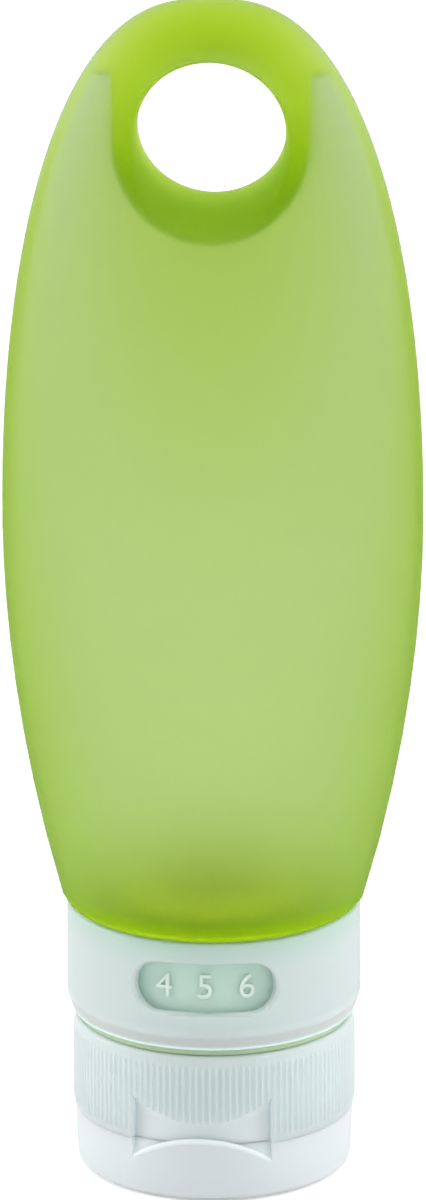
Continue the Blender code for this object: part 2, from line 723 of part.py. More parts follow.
def make_flip_lid(frosted, axis, scoop):
    pivot = (0, HINGE_BACK, HINGE_HEIGHT)
    inside = LID_FOOT_RADIUS - LID_WALL
    ring_bore = SPOUT_RADIUS + SEAT_GAP
    nub_top = VALVE_FOOT - SEAT_GAP
    corners = [
        (0, 0, 0),
        (LID_FOOT_RADIUS, 0, LID_FOOT_FILLET),
        (LID_RADIUS, LID_HEIGHT, CAP_EDGE_FILLET),
        (LID_RADIUS - LID_WALL, LID_HEIGHT, 0),
        (inside, LID_FLOOR, LID_INSIDE_FILLET),
        (ring_bore + SEAL_RING_WALL, LID_FLOOR, 0),
        (ring_bore + SEAL_RING_WALL, LID_FLOOR + SEAL_RING_HEIGHT, 0),
        (ring_bore, LID_FLOOR + SEAL_RING_HEIGHT, 0),
        (ring_bore, LID_FLOOR, 0),
        (NUB_RADIUS, LID_FLOOR, 0),
        (NUB_RADIUS, nub_top, NUB_FILLET),
        (0, nub_top, 0),
    ]
    lid = place("flip_lid", turned(rounded(corners), closed=False), frosted, axis, pivot)
    lip_inside = LID_RADIUS - LIP_THICKNESS
    lip = [
        (lip_inside, LID_HEIGHT - SUNK),
        (LID_RADIUS, LID_HEIGHT - SUNK),
        (LID_RADIUS, LID_HEIGHT + LIP_RISE),
        (lip_inside, LID_HEIGHT + LIP_RISE),
    ]
    steps = round(SEGMENTS * LIP_SPAN / math.tau)
    lip_mesh = swept(lip, -math.pi / 2 - LIP_SPAN / 2, LIP_SPAN, steps)
    combine(lid, place("thumb_lip", lip_mesh, None, axis), "UNION")
    foot = HINGE_HEIGHT - STRAP_HEIGHT / 2 - LAND_MARGIN
    land = hinge_land(foot, LID_HEIGHT - LAND_STEP)
    combine(lid, place("lid_land", land, None, axis), "UNION")
    over = notch_cutter(NOTCH_LOW_MIDDLE, NOTCH_LOW_END, DECK_TOP)
    cutter = place("lid_notch", over, None, axis)
    combine(cutter, scoop, "DIFFERENCE")
    combine(lid, cutter, "DIFFERENCE")


def make_hinge_strap(frosted, axis):
    """The strap, thinned from outside where it folds."""
    outside = STRAP_INSIDE + STRAP_THICKNESS
    fold = STRAP_INSIDE + STRAP_FOLD_THICKNESS
    half = STRAP_HEIGHT / 2
    thin = STRAP_FOLD_HEIGHT / 2
    slope = STRAP_THICKNESS - STRAP_FOLD_THICKNESS
    side = [
        (STRAP_INSIDE, -half),
        (outside, -half),
        (outside, -thin - slope),
        (fold, -thin),
        (fold, thin),
        (outside, thin + slope),
        (outside, half),
        (STRAP_INSIDE, half),
    ]
    points = [(-STRAP_WIDTH / 2, back, HINGE_HEIGHT + up) for back, up in side]
    pivot = (0, HINGE_BACK, HINGE_HEIGHT)
    place("hinge_strap", prism(points, (STRAP_WIDTH, 0, 0)), frosted, axis, pivot)


def make_cap_seal(silicone, axis):
    inside = INSERT_BORE - SEAL_OVERHANG
    corners = [
        (inside, SEAL_FOOT, 0),
        (THREAD_ROOT, SEAL_FOOT, 0),
        (THREAD_ROOT, SEAL_FOOT + SEAL_THICKNESS, 0),
        (inside, SEAL_FOOT + SEAL_THICKNESS, 0),
    ]
    place("cap_seal", turned(rounded(corners)), silicone, axis)


def make_valve(silicone, axis):
    """The valve: a flange on the deck, a sleeve down the spout, and a face with a cross slit."""
    inside = VALVE_RADIUS - VALVE_WALL
    corners = [
        (0, VALVE_FOOT, 0),
        (VALVE_RADIUS, VALVE_FOOT, VALVE_WALL / 2),
        (VALVE_RADIUS, VALVE_TOP - VALVE_FLANGE, 0),
        (VALVE_FLANGE_RADIUS, VALVE_TOP - VALVE_FLANGE, 0),
        (VALVE_FLANGE_RADIUS, VALVE_TOP, 0),
        (inside, VALVE_TOP, 0),
        (inside, VALVE_FOOT + VALVE_FACE, 0),
        (0, VALVE_FOOT + VALVE_FACE, 0),
    ]
    valve = place("valve", turned(rounded(corners), closed=False), silicone, axis)
    arm = VALVE_SLIT_LENGTH / 2
    half = VALVE_SLIT_WIDTH / 2
    foot = VALVE_FOOT - OVERRUN
    cross = []
    for quarter in range(4):
        turn = Matrix.Rotation(math.pi / 2 * quarter, 3, "Z")
        for across, along in ((half, half), (half, arm), (-half, arm)):
            cross.append(turn @ Vector((across, along, foot)))
    cutter = prism(cross, (0, 0, VALVE_FACE + 2 * OVERRUN))
    combine(valve, place("slit_cutter", cutter, None, axis), "DIFFERENCE")


def make_valve_retainer(white, axis):
    foot = VALVE_TOP + SEAT_GAP
    inside = VALVE_FLANGE_RADIUS - RETAINER_WALL
    corners = [
        (inside, foot, 0),
        (VALVE_FLANGE_RADIUS, foot, 0),
        (VALVE_FLANGE_RADIUS, foot + RETAINER_HEIGHT, 0),
        (inside, foot + RETAINER_HEIGHT, 0),
    ]
    place("valve_retainer", turned(rounded(corners)), white, axis)


def main():
    clear_scene()
    green = material("green_silicone", GREEN, 0.55)
    tinted = material("green_plastic", TINTED, 0.40)
    frosted = material("frosted_plastic", FROSTED, 0.45)
    silicone = material("clear_silicone", CLEAR_SILICONE, 0.40)
    white = material("white_plastic", WHITE, 0.40)
    make_bottle_body(green)
    make_neck_insert(tinted)
    make_label_ring(white)
    make_collar(frosted)
    cap_axis = axis_empty("cap_axis", (0, 0, 0), CAP_TURN)
    scoop = place("notch_floor", notch_floor(), None, cap_axis)
    make_cap_seal(silicone, cap_axis)
    make_cap_base(frosted, cap_axis, scoop)
    make_valve(silicone, cap_axis)
    make_valve_retainer(white, cap_axis)
    make_flip_lid(frosted, cap_axis, scoop)
    make_hinge_strap(frosted, cap_axis)


main()
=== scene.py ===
"""The looks of a travel squeeze bottle: frosted green silicone over a frosted white cap.

Metres, +Z up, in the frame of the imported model. The front of the bottle faces -Y.
"""

import math

import bmesh
import bpy
from mathutils import Matrix, Quaternion, Vector


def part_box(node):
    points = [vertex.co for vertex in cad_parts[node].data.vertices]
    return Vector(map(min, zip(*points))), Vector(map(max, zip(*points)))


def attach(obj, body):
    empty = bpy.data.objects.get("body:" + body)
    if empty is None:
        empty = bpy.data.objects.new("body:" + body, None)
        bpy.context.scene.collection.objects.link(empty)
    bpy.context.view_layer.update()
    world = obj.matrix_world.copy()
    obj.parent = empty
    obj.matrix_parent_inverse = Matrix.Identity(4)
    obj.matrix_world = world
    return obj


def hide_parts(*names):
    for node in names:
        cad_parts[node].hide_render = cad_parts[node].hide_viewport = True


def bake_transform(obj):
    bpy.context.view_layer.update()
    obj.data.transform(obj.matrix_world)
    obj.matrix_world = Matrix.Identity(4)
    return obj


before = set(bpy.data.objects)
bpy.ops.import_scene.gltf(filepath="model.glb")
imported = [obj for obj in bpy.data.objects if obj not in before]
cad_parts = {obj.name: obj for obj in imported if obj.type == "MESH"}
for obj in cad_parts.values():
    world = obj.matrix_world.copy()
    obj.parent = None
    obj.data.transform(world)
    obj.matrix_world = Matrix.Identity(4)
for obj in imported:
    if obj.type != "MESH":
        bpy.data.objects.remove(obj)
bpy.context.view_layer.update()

# Room between pieces, what is sunk into a neighbour, how far cutters go on, and what merges
GAP = 0.0003
SUNK = 0.0003
OVERRUN = 0.0020
MERGE = 0.000002
MIRROR_MERGE = 0.00002

# Fillets of moulded edges, and the angle from which an edge is shaded sharp
FINE_EDGE = 0.0001
THIN_EDGE = 0.00015
EDGE = 0.0002
SHARP_ANGLE = math.radians(32)

# Silicone body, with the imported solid's outside, and thinner walls for their colour
DEPTH_TRIM = 0.00001
BODY_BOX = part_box("bottle_body")
BODY_TOP = BODY_BOX[1].z
HALF_WIDTH = BODY_BOX[1].x
HALF_DEPTH = BODY_BOX[1].y - DEPTH_TRIM
WIDEST_HEIGHT = 0.0860
FOOT_RADIUS = 0.0189
FOOT_FILLET = 0.0008
FRONT_WALL = 0.0019
SIDE_WALL = 0.0014
WALL_GROWTH = 0.020
WALL_GROWTH_START = 0.0820
SHOULDER_THICKNESS = 0.0007
CAVITY_TOP_GAP = 0.0096
CAVITY_FILLET = 0.0010
NOSE_RADIUS = 0.0046
LOWER_POWER = 1.95
DOME_WIDTH_POWER = 2.57
DOME_HEIGHT_POWER = 2.1
DEPTH_SHARES = (
    (0.00, 0.966),
    (0.10, 1.000),
    (0.30, 0.935),
    (0.50, 0.765),
    (0.65, 0.600),
    (0.76, 0.450),
    (0.86, 0.310),
    (0.94, 0.250),
    (1.00, 0.235),
)

# Hanging hole and its solid boss
HOLE_RADIUS = 0.0093
HOLE_BELOW_TOP = 0.0167
HOLE_FLARE = 0.0130
HOLE_LAND = 0.0010
HOLE_FLARE_ANGLE = math.radians(40)
HOLE_RIM_SOFTNESS = 0.00045
HOLE_RIM_WIDTH = 0.0024
BOSS_WALL = 0.00305
BOSS_DROP = 0.0010

# Neck, under the collar, and its bead, whose lip shows between collar and cap
BEAD_RADIUS = 0.01695
BEAD_TOP = 0.0208
BEAD_LIP_RADIUS = 0.0172
BEAD_LIP_GAP = 0.00012
BEAD_FILLET = 0.0002
NECK_RADIUS = 0.0144
NECK_BORE = 0.0125

# Collar and its window
COLLAR_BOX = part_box("collar")
COLLAR_FOOT = COLLAR_BOX[0].z
COLLAR_TOP = COLLAR_BOX[1].z
COLLAR_RADIUS = 0.0185
COLLAR_FOOT_RADIUS = 0.0178
COLLAR_TAPER = 0.0020
COLLAR_TAPER_FILLET = 0.0015
COLLAR_TOP_FILLET = 0.0003
COLLAR_BORE = 0.01725
COLLAR_LEDGE_FOOT = 0.0211
COLLAR_LEDGE_TOP = 0.0219
WINDOW_WIDTH = 0.0182
WINDOW_HEIGHT = 0.0066
WINDOW_MIDDLE = 0.0287
WINDOW_TURN = math.radians(-0.8)
WINDOW_RIM = 0.00030
WINDOW_REACH = 0.0060
COLLAR_LIP = 0.0004

# Numbered dial
DIAL_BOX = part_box("label_ring")
DIAL_RADIUS = 0.0167
DIAL_BORE = 0.0147
DIAL_NUMBERS = 20
DIAL_FRONT_NUMBER = 5
NUMBER_HEIGHT = 0.0033
NUMBER_RISE = 0.00022
NUMBER_BEVEL = 0.00004
DIGIT_SHARE = 0.72

# Screw cap
CAP_FOOT = 0.0075
CAP_TOP = 0.0195
CAP_TOP_FILLET = 0.0005
CAP_TURN = math.radians(-2.9)
CAP_RADIUS = 0.0178
RIB_HEIGHT = 0.00020
SKIRT_RADIUS = CAP_RADIUS - RIB_HEIGHT
RIB_COUNT = 132
RIB_FOOT = 0.0082
RIB_TOP = 0.0182
CAP_DECK = 0.0016
DECK_FILLET = 0.0003
CAP_BORE = 0.0156
SOCKET_BORE = 0.0075
SOCKET_RADIUS = 0.0087
SOCKET_HEIGHT = 0.0028
SPOUT_RADIUS = 0.0066
SPOUT_BORE = 0.0052
SPOUT_MOUTH = 0.0036
SPOUT_FILLET = 0.0004
LOCATING_RADIUS = 0.0154
LOCATING_WALL = 0.0009
LOCATING_DEPTH = 0.0013

# Flip lid
LID_HEIGHT = 0.00744
LID_RADIUS = 0.0175
LID_FOOT_RADIUS = 0.0172
LID_WALL = 0.0018
LID_FLOOR = 0.0014
LID_FLOOR_FILLET = 0.0005
LID_FOOT_FILLET = 0.0011
SEAL_RING_BORE = 0.0069
SEAL_RING_WALL = 0.0009
SEAL_RING_TOP = 0.0054
NUB_RADIUS = 0.0024
NUB_TOP = 0.0040
NUB_FILLET = 0.0006

# Thumb notch across cap and lid
NOTCH_HALF_WIDTH = 0.0090
NOTCH_TOP_MIDDLE = 0.0105
NOTCH_TOP_END = 0.0133
NOTCH_LOW_MIDDLE = 0.00805
NOTCH_LOW_END = 0.0046
NOTCH_FLOOR = 0.0164
NOTCH_SCOOP_RADIUS = 0.0140
NOTCH_SCOOP_HEIGHT = 0.0100
NOTCH_DRAFT = math.radians(25)
LIP_THICKNESS = 0.0006
LIP_RISE = 0.00116
LIP_SPAN = math.radians(36)
RIDGE_RADIUS = 0.00036
RIDGE_PROUD = 0.00010
RIDGE_TURNS = 14
RIDGE_END_SHARE = 0.15
RIDGE_END_START = 0.2

# Which faces count as the notch's and take a paler plastic, painted light in the recess and a
# painted highlight on the ridge: how near the skin, how near the ridge, how upright
UNDER_SKIN = MERGE * 15
ON_SKIN = MERGE * 10
ON_RIDGE = 1.2 * RIDGE_RADIUS
UPRIGHT_TILT = 0.06

# Living hinge strap
STRAP_WIDTH = 0.0100
STRAP_INSIDE = 0.0181
STRAP_THICKNESS = 0.0005
STRAP_FOLD_THICKNESS = 0.0003
STRAP_FOLD_HEIGHT = 0.0010
STRAP_HEIGHT = 0.0050
STRAP_ROWS = 24
HINGE_HEIGHT = 0.00735
LAND_FACE = 0.0178
LAND_DEPTH = 0.0014
LAND_MARGIN = 0.0004
LAND_STEP = 0.0003

# Finishes, and the grains of the moulds as (scale, depth, strength)
SILICONE_IOR = 1.28
PLASTIC_IOR = 1.35
COLLAR_COLOUR = (0.80, 0.88, 0.88, 1.0)
GRAIN_DETAIL = 3.0
SILICONE_GRAIN = (2600.0, 0.00003, 0.25)
FROSTED_GRAIN = (3200.0, 0.00002, 0.2)
SATIN_GRAIN = (2500.0, 0.00002, 0.15)
DIAL_GRAIN = (3000.0, 0.00002, 0.15)
PAINT_GRAIN = (5000.0, 0.00001, 0.2)

# Stage and camera; the camera stands near enough for its lens to serve other sides too
FLOOR_REACH = 0.8
FLOOR_DROP = 0.0002
FLOOR_GLOW = 0.35
ROOM_LIGHT = 0.42
LIGHT_AIM = Vector((0, 0, 0.08))
SOFTBOXES = (
    ("left_softbox", (-0.9, 0.0, 0.35), 0.8, 6.2),
    ("right_softbox", (0.9, 0.0, 0.35), 0.8, 6.2),
    ("top_softbox", (0.0, -0.3, 1.3), 1.0, 5.0),
    ("front_softbox", (0.15, -1.3, 0.12), 0.8, 2.6),
)
CAMERA_DISTANCE = 2.2
CAMERA_REACH = 10 * CAMERA_DISTANCE
CAMERA_AZIMUTH = math.radians(3.0)
CAMERA_ELEVATION = math.radians(19.07)
CAMERA_ROLL = math.radians(-0.15)
CAMERA_AIM = Vector((0.0, 0.0, 0.0742))
VIEW_HEIGHT = 0.1505
SENSOR_HEIGHT_MM = 36.0

# Counts of points, rings and steps
ROUND = 160
FOOT_TURNS = 36
SIDE_TURNS = 168
LAND_RINGS = 2
FLARE_RINGS = 12
RIM_RINGS = 6
SKIN_RINGS = 72
CAVITY_TURNS = 120
CAVITY_RINGS = 44
FILLET_STEPS = 5
NOTCH_STEPS = 40
SCOOP_STEPS = 32
WINDOW_STEPS = 20
REACH_STEPS = 50
DIGIT_STEPS = 4

# The profile of one grip rib, round the cap and at its ends
RIB_PHASE_SHARES = (-0.5, -0.27, -0.13, 0.0, 0.13, 0.27)
RIB_RISE_SHARES = (0.0, 0.0, 0.85, 1.0, 0.85, 0.0)
RIB_FADE_SHARES = (0.0, 0.5, 0.85, 1.0)
RIB_FADE = 0.0004

# Heights and radii that follow from the ones above
HOLE_HEIGHT = BODY_TOP - HOLE_BELOW_TOP
BOSS_HEIGHT = HOLE_HEIGHT - BOSS_DROP
BOSS_RADIUS = HOLE_RADIUS + BOSS_WALL
BEAD_FOOT = CAP_TOP + BEAD_LIP_GAP
BEAD_LIP_TOP = COLLAR_FOOT - BEAD_LIP_GAP
SHOULDER = COLLAR_TOP + GAP
SKIN_FOOT = SHOULDER + FOOT_FILLET
CAVITY_FLOOR = SHOULDER + SHOULDER_THICKNESS


def object_from(name, mesh):
    """An object for a bmesh, which it frees."""
    data = bpy.data.meshes.new(name)
    mesh.to_mesh(data)
    mesh.free()
    made = bpy.data.objects.new(name, data)
    bpy.context.collection.objects.link(made)
    return made


def tidied(mesh):
    """A bmesh with its doubles merged and its faces turned outwards."""
    bmesh.ops.remove_doubles(mesh, verts=mesh.verts, dist=MERGE)
    bmesh.ops.recalc_face_normals(mesh, faces=mesh.faces)
    return mesh


def carved(mesh, tool, operation="DIFFERENCE"):
    """One bmesh cut by, or joined to, another. It frees both."""
    target = object_from("carve_target", mesh)
    cutter = object_from("carve_tool", tool)
    boolean = target.modifiers.new("carve", "BOOLEAN")
    boolean.operation = operation
    boolean.solver = "EXACT"
    boolean.object = cutter
    evaluated = target.evaluated_get(bpy.context.evaluated_depsgraph_get())
    result = bmesh.new()
    result.from_mesh(evaluated.to_mesh())
    evaluated.to_mesh_clear()
    for used in (target, cutter):
        data = used.data
        bpy.data.objects.remove(used)
        bpy.data.meshes.remove(data)
    return result


def rounded(corners):
    """The outline through corners given as (across, up, fillet), each fillet as an arc."""
    outline = []
    for index, (across, up, fillet) in enumerate(corners):
        here = Vector((across, up))
        if fillet == 0:
            outline.append(here)
            continue
        before = (Vector(corners[index - 1][:2]) - here).normalized()
        after = (Vector(corners[(index + 1) % len(corners)][:2]) - here).normalized()
        half = before.angle(after) / 2
        centre = here + (before + after).normalized() * (fillet / math.sin(half))
        start = here + before * (fillet / math.tan(half)) - centre
        end = here + after * (fillet / math.tan(half)) - centre
        first = math.atan2(start.y, start.x)
        swing = math.remainder(math.atan2(end.y, end.x) - first, math.tau)
        for step in range(FILLET_STEPS + 1):
            angle = first + swing * step / FILLET_STEPS
            outline.append(centre + Vector((math.cos(angle), math.sin(angle))) * fillet)
    return outline


def turned(outline, closed=True):
    """An outline of (radius, height) spun round the Z axis. An open one starts and ends on it."""
    mesh = bmesh.new()
    verts = [mesh.verts.new((radius, 0, height)) for radius, height in outline]
    pairs = list(zip(verts, verts[1:]))
    if closed:
        pairs.append((verts[-1], verts[0]))
    edges = [mesh.edges.new(pair) for pair in pairs]
    bmesh.ops.spin(
        mesh, geom=verts + edges, cent=(0, 0, 0), axis=(0, 0, 1),
        angle=math.tau, steps=ROUND, use_merge=True,
    )
    return tidied(mesh)


def swept(outline, start, angle, steps):
    """A solid swept round the Z axis from a face of (radius, height)."""
    mesh = bmesh.new()
    turn = Matrix.Rotation(start, 3, "Z")
    face = mesh.faces.new([mesh.verts.new(turn @ Vector((x, 0, z))) for x, z in outline])
    bmesh.ops.spin(
        mesh, geom=[*face.verts, *face.edges, face], cent=(0, 0, 0), axis=(0, 0, 1),
        angle=angle, steps=steps, use_merge=False,
    )
    return tidied(mesh)


def prism(points, along):
    """A face through the points, extruded by the vector along."""
    mesh = bmesh.new()
    face = mesh.faces.new([mesh.verts.new(point) for point in points])
    made = bmesh.ops.extrude_face_region(mesh, geom=[face])
    moved = [item for item in made["geom"] if isinstance(item, bmesh.types.BMVert)]
    bmesh.ops.translate(mesh, verts=moved, vec=along)
    return tidied(mesh)


def numbered_circle(count):
    """A bmesh of one circle, its edges, and the layer that numbers its points round it."""
    mesh = bmesh.new()
    turn = mesh.verts.layers.int.new("turn")
    made = bmesh.ops.create_circle(mesh, segments=count, radius=HOLE_RADIUS)
    for number, vert in enumerate(made["verts"]):
        vert[turn] = number
    return mesh, list(mesh.edges), turn


def grown(mesh, edges):
    """The points and edges of the next ring, extruded from the last one's edges."""
    made = bmesh.ops.extrude_edge_only(mesh, edges=edges)["geom"]
    verts = [item for item in made if isinstance(item, bmesh.types.BMVert)]
    kept = set(verts)
    ring = [
        item for item in made
        if isinstance(item, bmesh.types.BMEdge) and all(vert in kept for vert in item.verts)
    ]
    return verts, ring


def ringed(rings, points):
    """A closed skin from rings, each a function from a point's number to its place."""
    mesh, edges, turn = numbered_circle(points)
    for vert in mesh.verts:
        vert.co = rings[0](vert[turn])
    bmesh.ops.contextual_create(mesh, geom=edges)
    for ring in rings[1:]:
        verts, edges = grown(mesh, edges)
        for vert in verts:
            vert.co = ring(vert[turn])
    bmesh.ops.contextual_create(mesh, geom=edges)
    return tidied(mesh)


def finished(name, mesh, finish, body, nodes, turn=0.0):
    """A shown piece: turned to its place in its mesh, smooth, riding on its body if it has one."""
    if turn:
        matrix = Matrix.Rotation(turn, 3, "Z")
        bmesh.ops.rotate(mesh, verts=mesh.verts, cent=(0, 0, 0), matrix=matrix)
    piece = object_from(name, mesh)
    piece.data.materials.append(finish)
    piece.data.shade_smooth()
    piece.data.set_sharp_from_angle(angle=SHARP_ANGLE)
    if body:
        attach(piece, body)
    if nodes:
        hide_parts(*nodes)
    return piece


def half_depth_at(height):
    """Half the body's depth at a height, on a smooth curve through the table of shares."""
    share = min(max((height - SHOULDER) / (BODY_TOP - SHOULDER), 0.0), 1.0)
    last_row = len(DEPTH_SHARES) - 1
    row = 0
    while row < last_row - 1 and share > DEPTH_SHARES[row + 1][0]:
        row += 1

    def slope(index):
        low = DEPTH_SHARES[max(index - 1, 0)]
        high = DEPTH_SHARES[min(index + 1, last_row)]
        return (high[1] - low[1]) / (high[0] - low[0])

    (start, first), (end, last) = DEPTH_SHARES[row], DEPTH_SHARES[row + 1]
    span = end - start
    t = (share - start) / span
    value = (
        first * (2 * t**3 - 3 * t**2 + 1)
        + slope(row) * span * (t**3 - 2 * t**2 + t)
        + last * (3 * t**2 - 2 * t**3)
        + slope(row + 1) * span * (t**3 - t**2)
    )
    into_nose = max(0.0, height - (BODY_TOP - NOSE_RADIUS)) / NOSE_RADIUS
    return value * HALF_DEPTH * math.sqrt(max(0.0, 1 - into_nose**2))


def half_width_at(height):
    """Half the body's width at a height."""
    if height < WIDEST_HEIGHT:
        left = (WIDEST_HEIGHT - height) / (WIDEST_HEIGHT - SHOULDER)
        return HALF_WIDTH - (HALF_WIDTH - FOOT_RADIUS) * left**LOWER_POWER
    climb = min((height - WIDEST_HEIGHT) / (BODY_TOP - WIDEST_HEIGHT), 1.0)
    return HALF_WIDTH * (1 - climb**DOME_HEIGHT_POWER) ** (1 / DOME_WIDTH_POWER)


def skin_directions():
    """Directions from the hole's centre, from straight down, with one at each foot corner."""
    corner = math.atan2(FOOT_RADIUS, HOLE_HEIGHT - SKIN_FOOT)
    under = [corner * (2 * step / FOOT_TURNS - 1) for step in range(FOOT_TURNS)]
    over = [corner + (math.tau - 2 * corner) * step / SIDE_TURNS for step in range(SIDE_TURNS)]
    return under + over


def reach_of(direction):
    """How far the body's outline is from the hole's centre in a direction."""
    low, high = HOLE_RADIUS, BODY_TOP
    for _ in range(REACH_STEPS):
        middle = (low + high) / 2
        across = middle * math.sin(direction)
        height = HOLE_HEIGHT - middle * math.cos(direction)
        inside = SKIN_FOOT <= height <= BODY_TOP and abs(across) <= half_width_at(height)
        low, high = (middle, high) if inside else (low, middle)
    return low


def flare_depth(radius):
    """How far from the middle plane the hole's flare is at a radius, straight on past its arc."""
    end_radius = HOLE_RADIUS + HOLE_FLARE * (1 - math.cos(HOLE_FLARE_ANGLE))
    if radius > end_radius:
        end_depth = HOLE_LAND + HOLE_FLARE * math.sin(HOLE_FLARE_ANGLE)
        return end_depth + (radius - end_radius) / math.tan(HOLE_FLARE_ANGLE)
    drop = HOLE_FLARE - max(radius - HOLE_RADIUS, 0.0)
    return HOLE_LAND + math.sqrt(max(0.0, HOLE_FLARE**2 - drop**2))


def skin_depth(across, height):
    """How far the body's skin is from its middle plane, blended into the hole's flare."""
    half_width = half_width_at(height)
    narrow = max(0.0, 1 - (across / half_width) ** 2) if half_width > 0 else 0.0
    body = half_depth_at(height) * math.sqrt(narrow)
    flare = flare_depth(math.hypot(across, height - HOLE_HEIGHT))
    nearer, further = sorted((body, flare))
    soft = HOLE_RIM_SOFTNESS * math.log1p(math.exp((nearer - further) / HOLE_RIM_SOFTNESS))
    return max(0.0, nearer - min(soft, nearer / 4))


def skin_rings():
    """The rings of the front skin, from the hole's middle to the outline."""
    directions = skin_directions()
    reaches = [reach_of(direction) for direction in directions]
    flare_end = HOLE_RADIUS + HOLE_FLARE * (1 - math.cos(HOLE_FLARE_ANGLE))

    def place_at(number, radius, depth=None):
        across = radius * math.sin(directions[number])
        height = HOLE_HEIGHT - radius * math.cos(directions[number])
        if depth is None:
            depth = skin_depth(across, height)
        return Vector((across, -depth, height))

    def land(step):
        return lambda number: place_at(number, HOLE_RADIUS, HOLE_LAND * step / LAND_RINGS)

    def flare(step):
        angle = HOLE_FLARE_ANGLE * step / FLARE_RINGS
        return lambda number: place_at(number, HOLE_RADIUS + HOLE_FLARE * (1 - math.cos(angle)))

    def rim_end(number):
        return flare_end + min(HOLE_RIM_WIDTH, (reaches[number] - flare_end) / 2)

    def rim(step):
        share = step / RIM_RINGS
        return lambda number: place_at(number, flare_end + (rim_end(number) - flare_end) * share)

    def skin(step):
        share = 1 - (1 - step / SKIN_RINGS) ** 2
        return lambda number: place_at(
            number, rim_end(number) + (reaches[number] - rim_end(number)) * share
        )

    return (
        [land(step) for step in range(LAND_RINGS + 1)]
        + [flare(step) for step in range(1, FLARE_RINGS + 1)]
        + [rim(step) for step in range(1, RIM_RINGS + 1)]
        + [skin(step) for step in range(1, SKIN_RINGS + 1)]
    )


def body_skin():
    """The closed outer skin: two mirrored faces round the hole, the foot, the neck and its bead."""
    rings = skin_rings()
    mesh, edges, turn = numbered_circle(FOOT_TURNS + SIDE_TURNS)
    for vert in mesh.verts:
        vert.co = rings[0](vert[turn])
    for ring in rings[1:]:
        verts, edges = grown(mesh, edges)
        for vert in verts:
            vert.co = ring(vert[turn])
    front = [*mesh.verts, *mesh.edges, *mesh.faces]
    bmesh.ops.mirror(mesh, geom=front, axis="Y", merge_dist=MIRROR_MERGE)
    edges = [edge for edge in mesh.edges if edge.is_boundary]
    levels = []
    for step in range(1, FILLET_STEPS + 1):
        angle = math.pi / 2 * step / FILLET_STEPS
        inward = FOOT_FILLET * (1 - math.cos(angle))
        levels.append((FOOT_RADIUS - inward, SKIN_FOOT - FOOT_FILLET * math.sin(angle)))
    levels.append((NECK_RADIUS, SHOULDER))
    levels += rounded([
        (NECK_RADIUS, BEAD_TOP, 0),
        (BEAD_RADIUS, BEAD_TOP, BEAD_FILLET),
        (BEAD_RADIUS, BEAD_LIP_TOP, 0),
        (BEAD_LIP_RADIUS, BEAD_LIP_TOP, BEAD_FILLET),
        (BEAD_LIP_RADIUS, BEAD_FOOT, BEAD_FILLET),
        (NECK_RADIUS, BEAD_FOOT, 0),
    ])
    for radius, height in levels:
        verts, edges = grown(mesh, edges)
        for vert in verts:
            flat = Vector((vert.co.x, vert.co.y))
            flat *= radius / flat.length
            vert.co = (flat.x, flat.y, height)
    bmesh.ops.contextual_create(mesh, geom=edges)
    return tidied(mesh)


def body_cavity():
    """The space inside the body and its neck, less the solid boss round the hole.

    Its walls grow thicker towards the boss along the middle of both faces.
    """
    def ellipse(half_width, half_depth, height, thicker=0.0):
        def point(number):
            turn = math.tau * number / CAVITY_TURNS
            deep = half_depth - thicker * math.sin(turn) ** 2
            return Vector((half_width * math.cos(turn), deep * math.sin(turn), height))
        return point

    start = CAVITY_FLOOR + CAVITY_FILLET
    top = BODY_TOP - CAVITY_TOP_GAP
    rings = [
        ellipse(NECK_BORE, NECK_BORE, BEAD_FOOT - OVERRUN),
        ellipse(NECK_BORE, NECK_BORE, CAVITY_FLOOR),
    ]
    for step in range(FILLET_STEPS):
        angle = math.pi / 2 * step / FILLET_STEPS
        inward = CAVITY_FILLET * (1 - math.sin(angle)) + FRONT_WALL
        height = CAVITY_FLOOR + CAVITY_FILLET * (1 - math.cos(angle))
        rings.append(ellipse(half_width_at(start) - inward, half_depth_at(start) - inward, height))
    for step in range(CAVITY_RINGS + 1):
        share = step / CAVITY_RINGS
        height = start + (top - start) * math.sin(share * math.pi / 2)
        wide = half_width_at(height) - SIDE_WALL
        deep = half_depth_at(height) - FRONT_WALL
        thicker = WALL_GROWTH * max(0.0, height - WALL_GROWTH_START)
        rings.append(ellipse(wide, deep, height, min(thicker, deep / 2)))
    cavity = ringed(rings, CAVITY_TURNS)
    outline = []
    for step in range(ROUND // 2 + 1):
        angle = math.pi + math.tau * step / ROUND
        outline.append((BOSS_RADIUS * math.cos(angle), BOSS_HEIGHT + BOSS_RADIUS * math.sin(angle)))
    outline += [(BOSS_RADIUS, BODY_TOP), (-BOSS_RADIUS, BODY_TOP)]
    boss = prism([(x, -HALF_DEPTH, z) for x, z in outline], (0, 2 * HALF_DEPTH, 0))
    return carved(cavity, boss)


def build_body(finish, neck_finish, bead_finish):
    """The body, in a denser silicone under its shoulder and round its neck, made bright as painted
    light for the glow through the neck, and in a paler silicone at its bead, painted light in the
    shaded gap between collar and cap.
    """
    mesh = carved(body_skin(), body_cavity())
    body = finished("silicone_body", mesh, finish, "bottle", ["bottle_body"])
    body.data.materials.append(neck_finish)
    body.data.materials.append(bead_finish)
    # Bead faces take the pale silicone, which is painted light. Faces under the shoulder and round
    # the neck take the bright opaque green, which is painted glow.
    for face in body.data.polygons:
        if face.center.z < BEAD_TOP + OVERRUN / 2:
            face.material_index = 2
        elif face.center.z < SHOULDER + MERGE:
            face.material_index = 1


def window_loop(offset):
    """A stadium of (across, up) about the window's middle, grown by an offset."""
    radius = WINDOW_HEIGHT / 2 + offset
    straight = COLLAR_RADIUS * math.asin(WINDOW_WIDTH / 2 / COLLAR_RADIUS) - WINDOW_HEIGHT / 2
    loop = []
    for side in (1, -1):
        for step in range(WINDOW_STEPS + 1):
            angle = math.pi * step / WINDOW_STEPS - math.pi / 2
            across = side * (straight + radius * math.cos(angle))
            loop.append((across, side * radius * math.sin(angle)))
    return loop


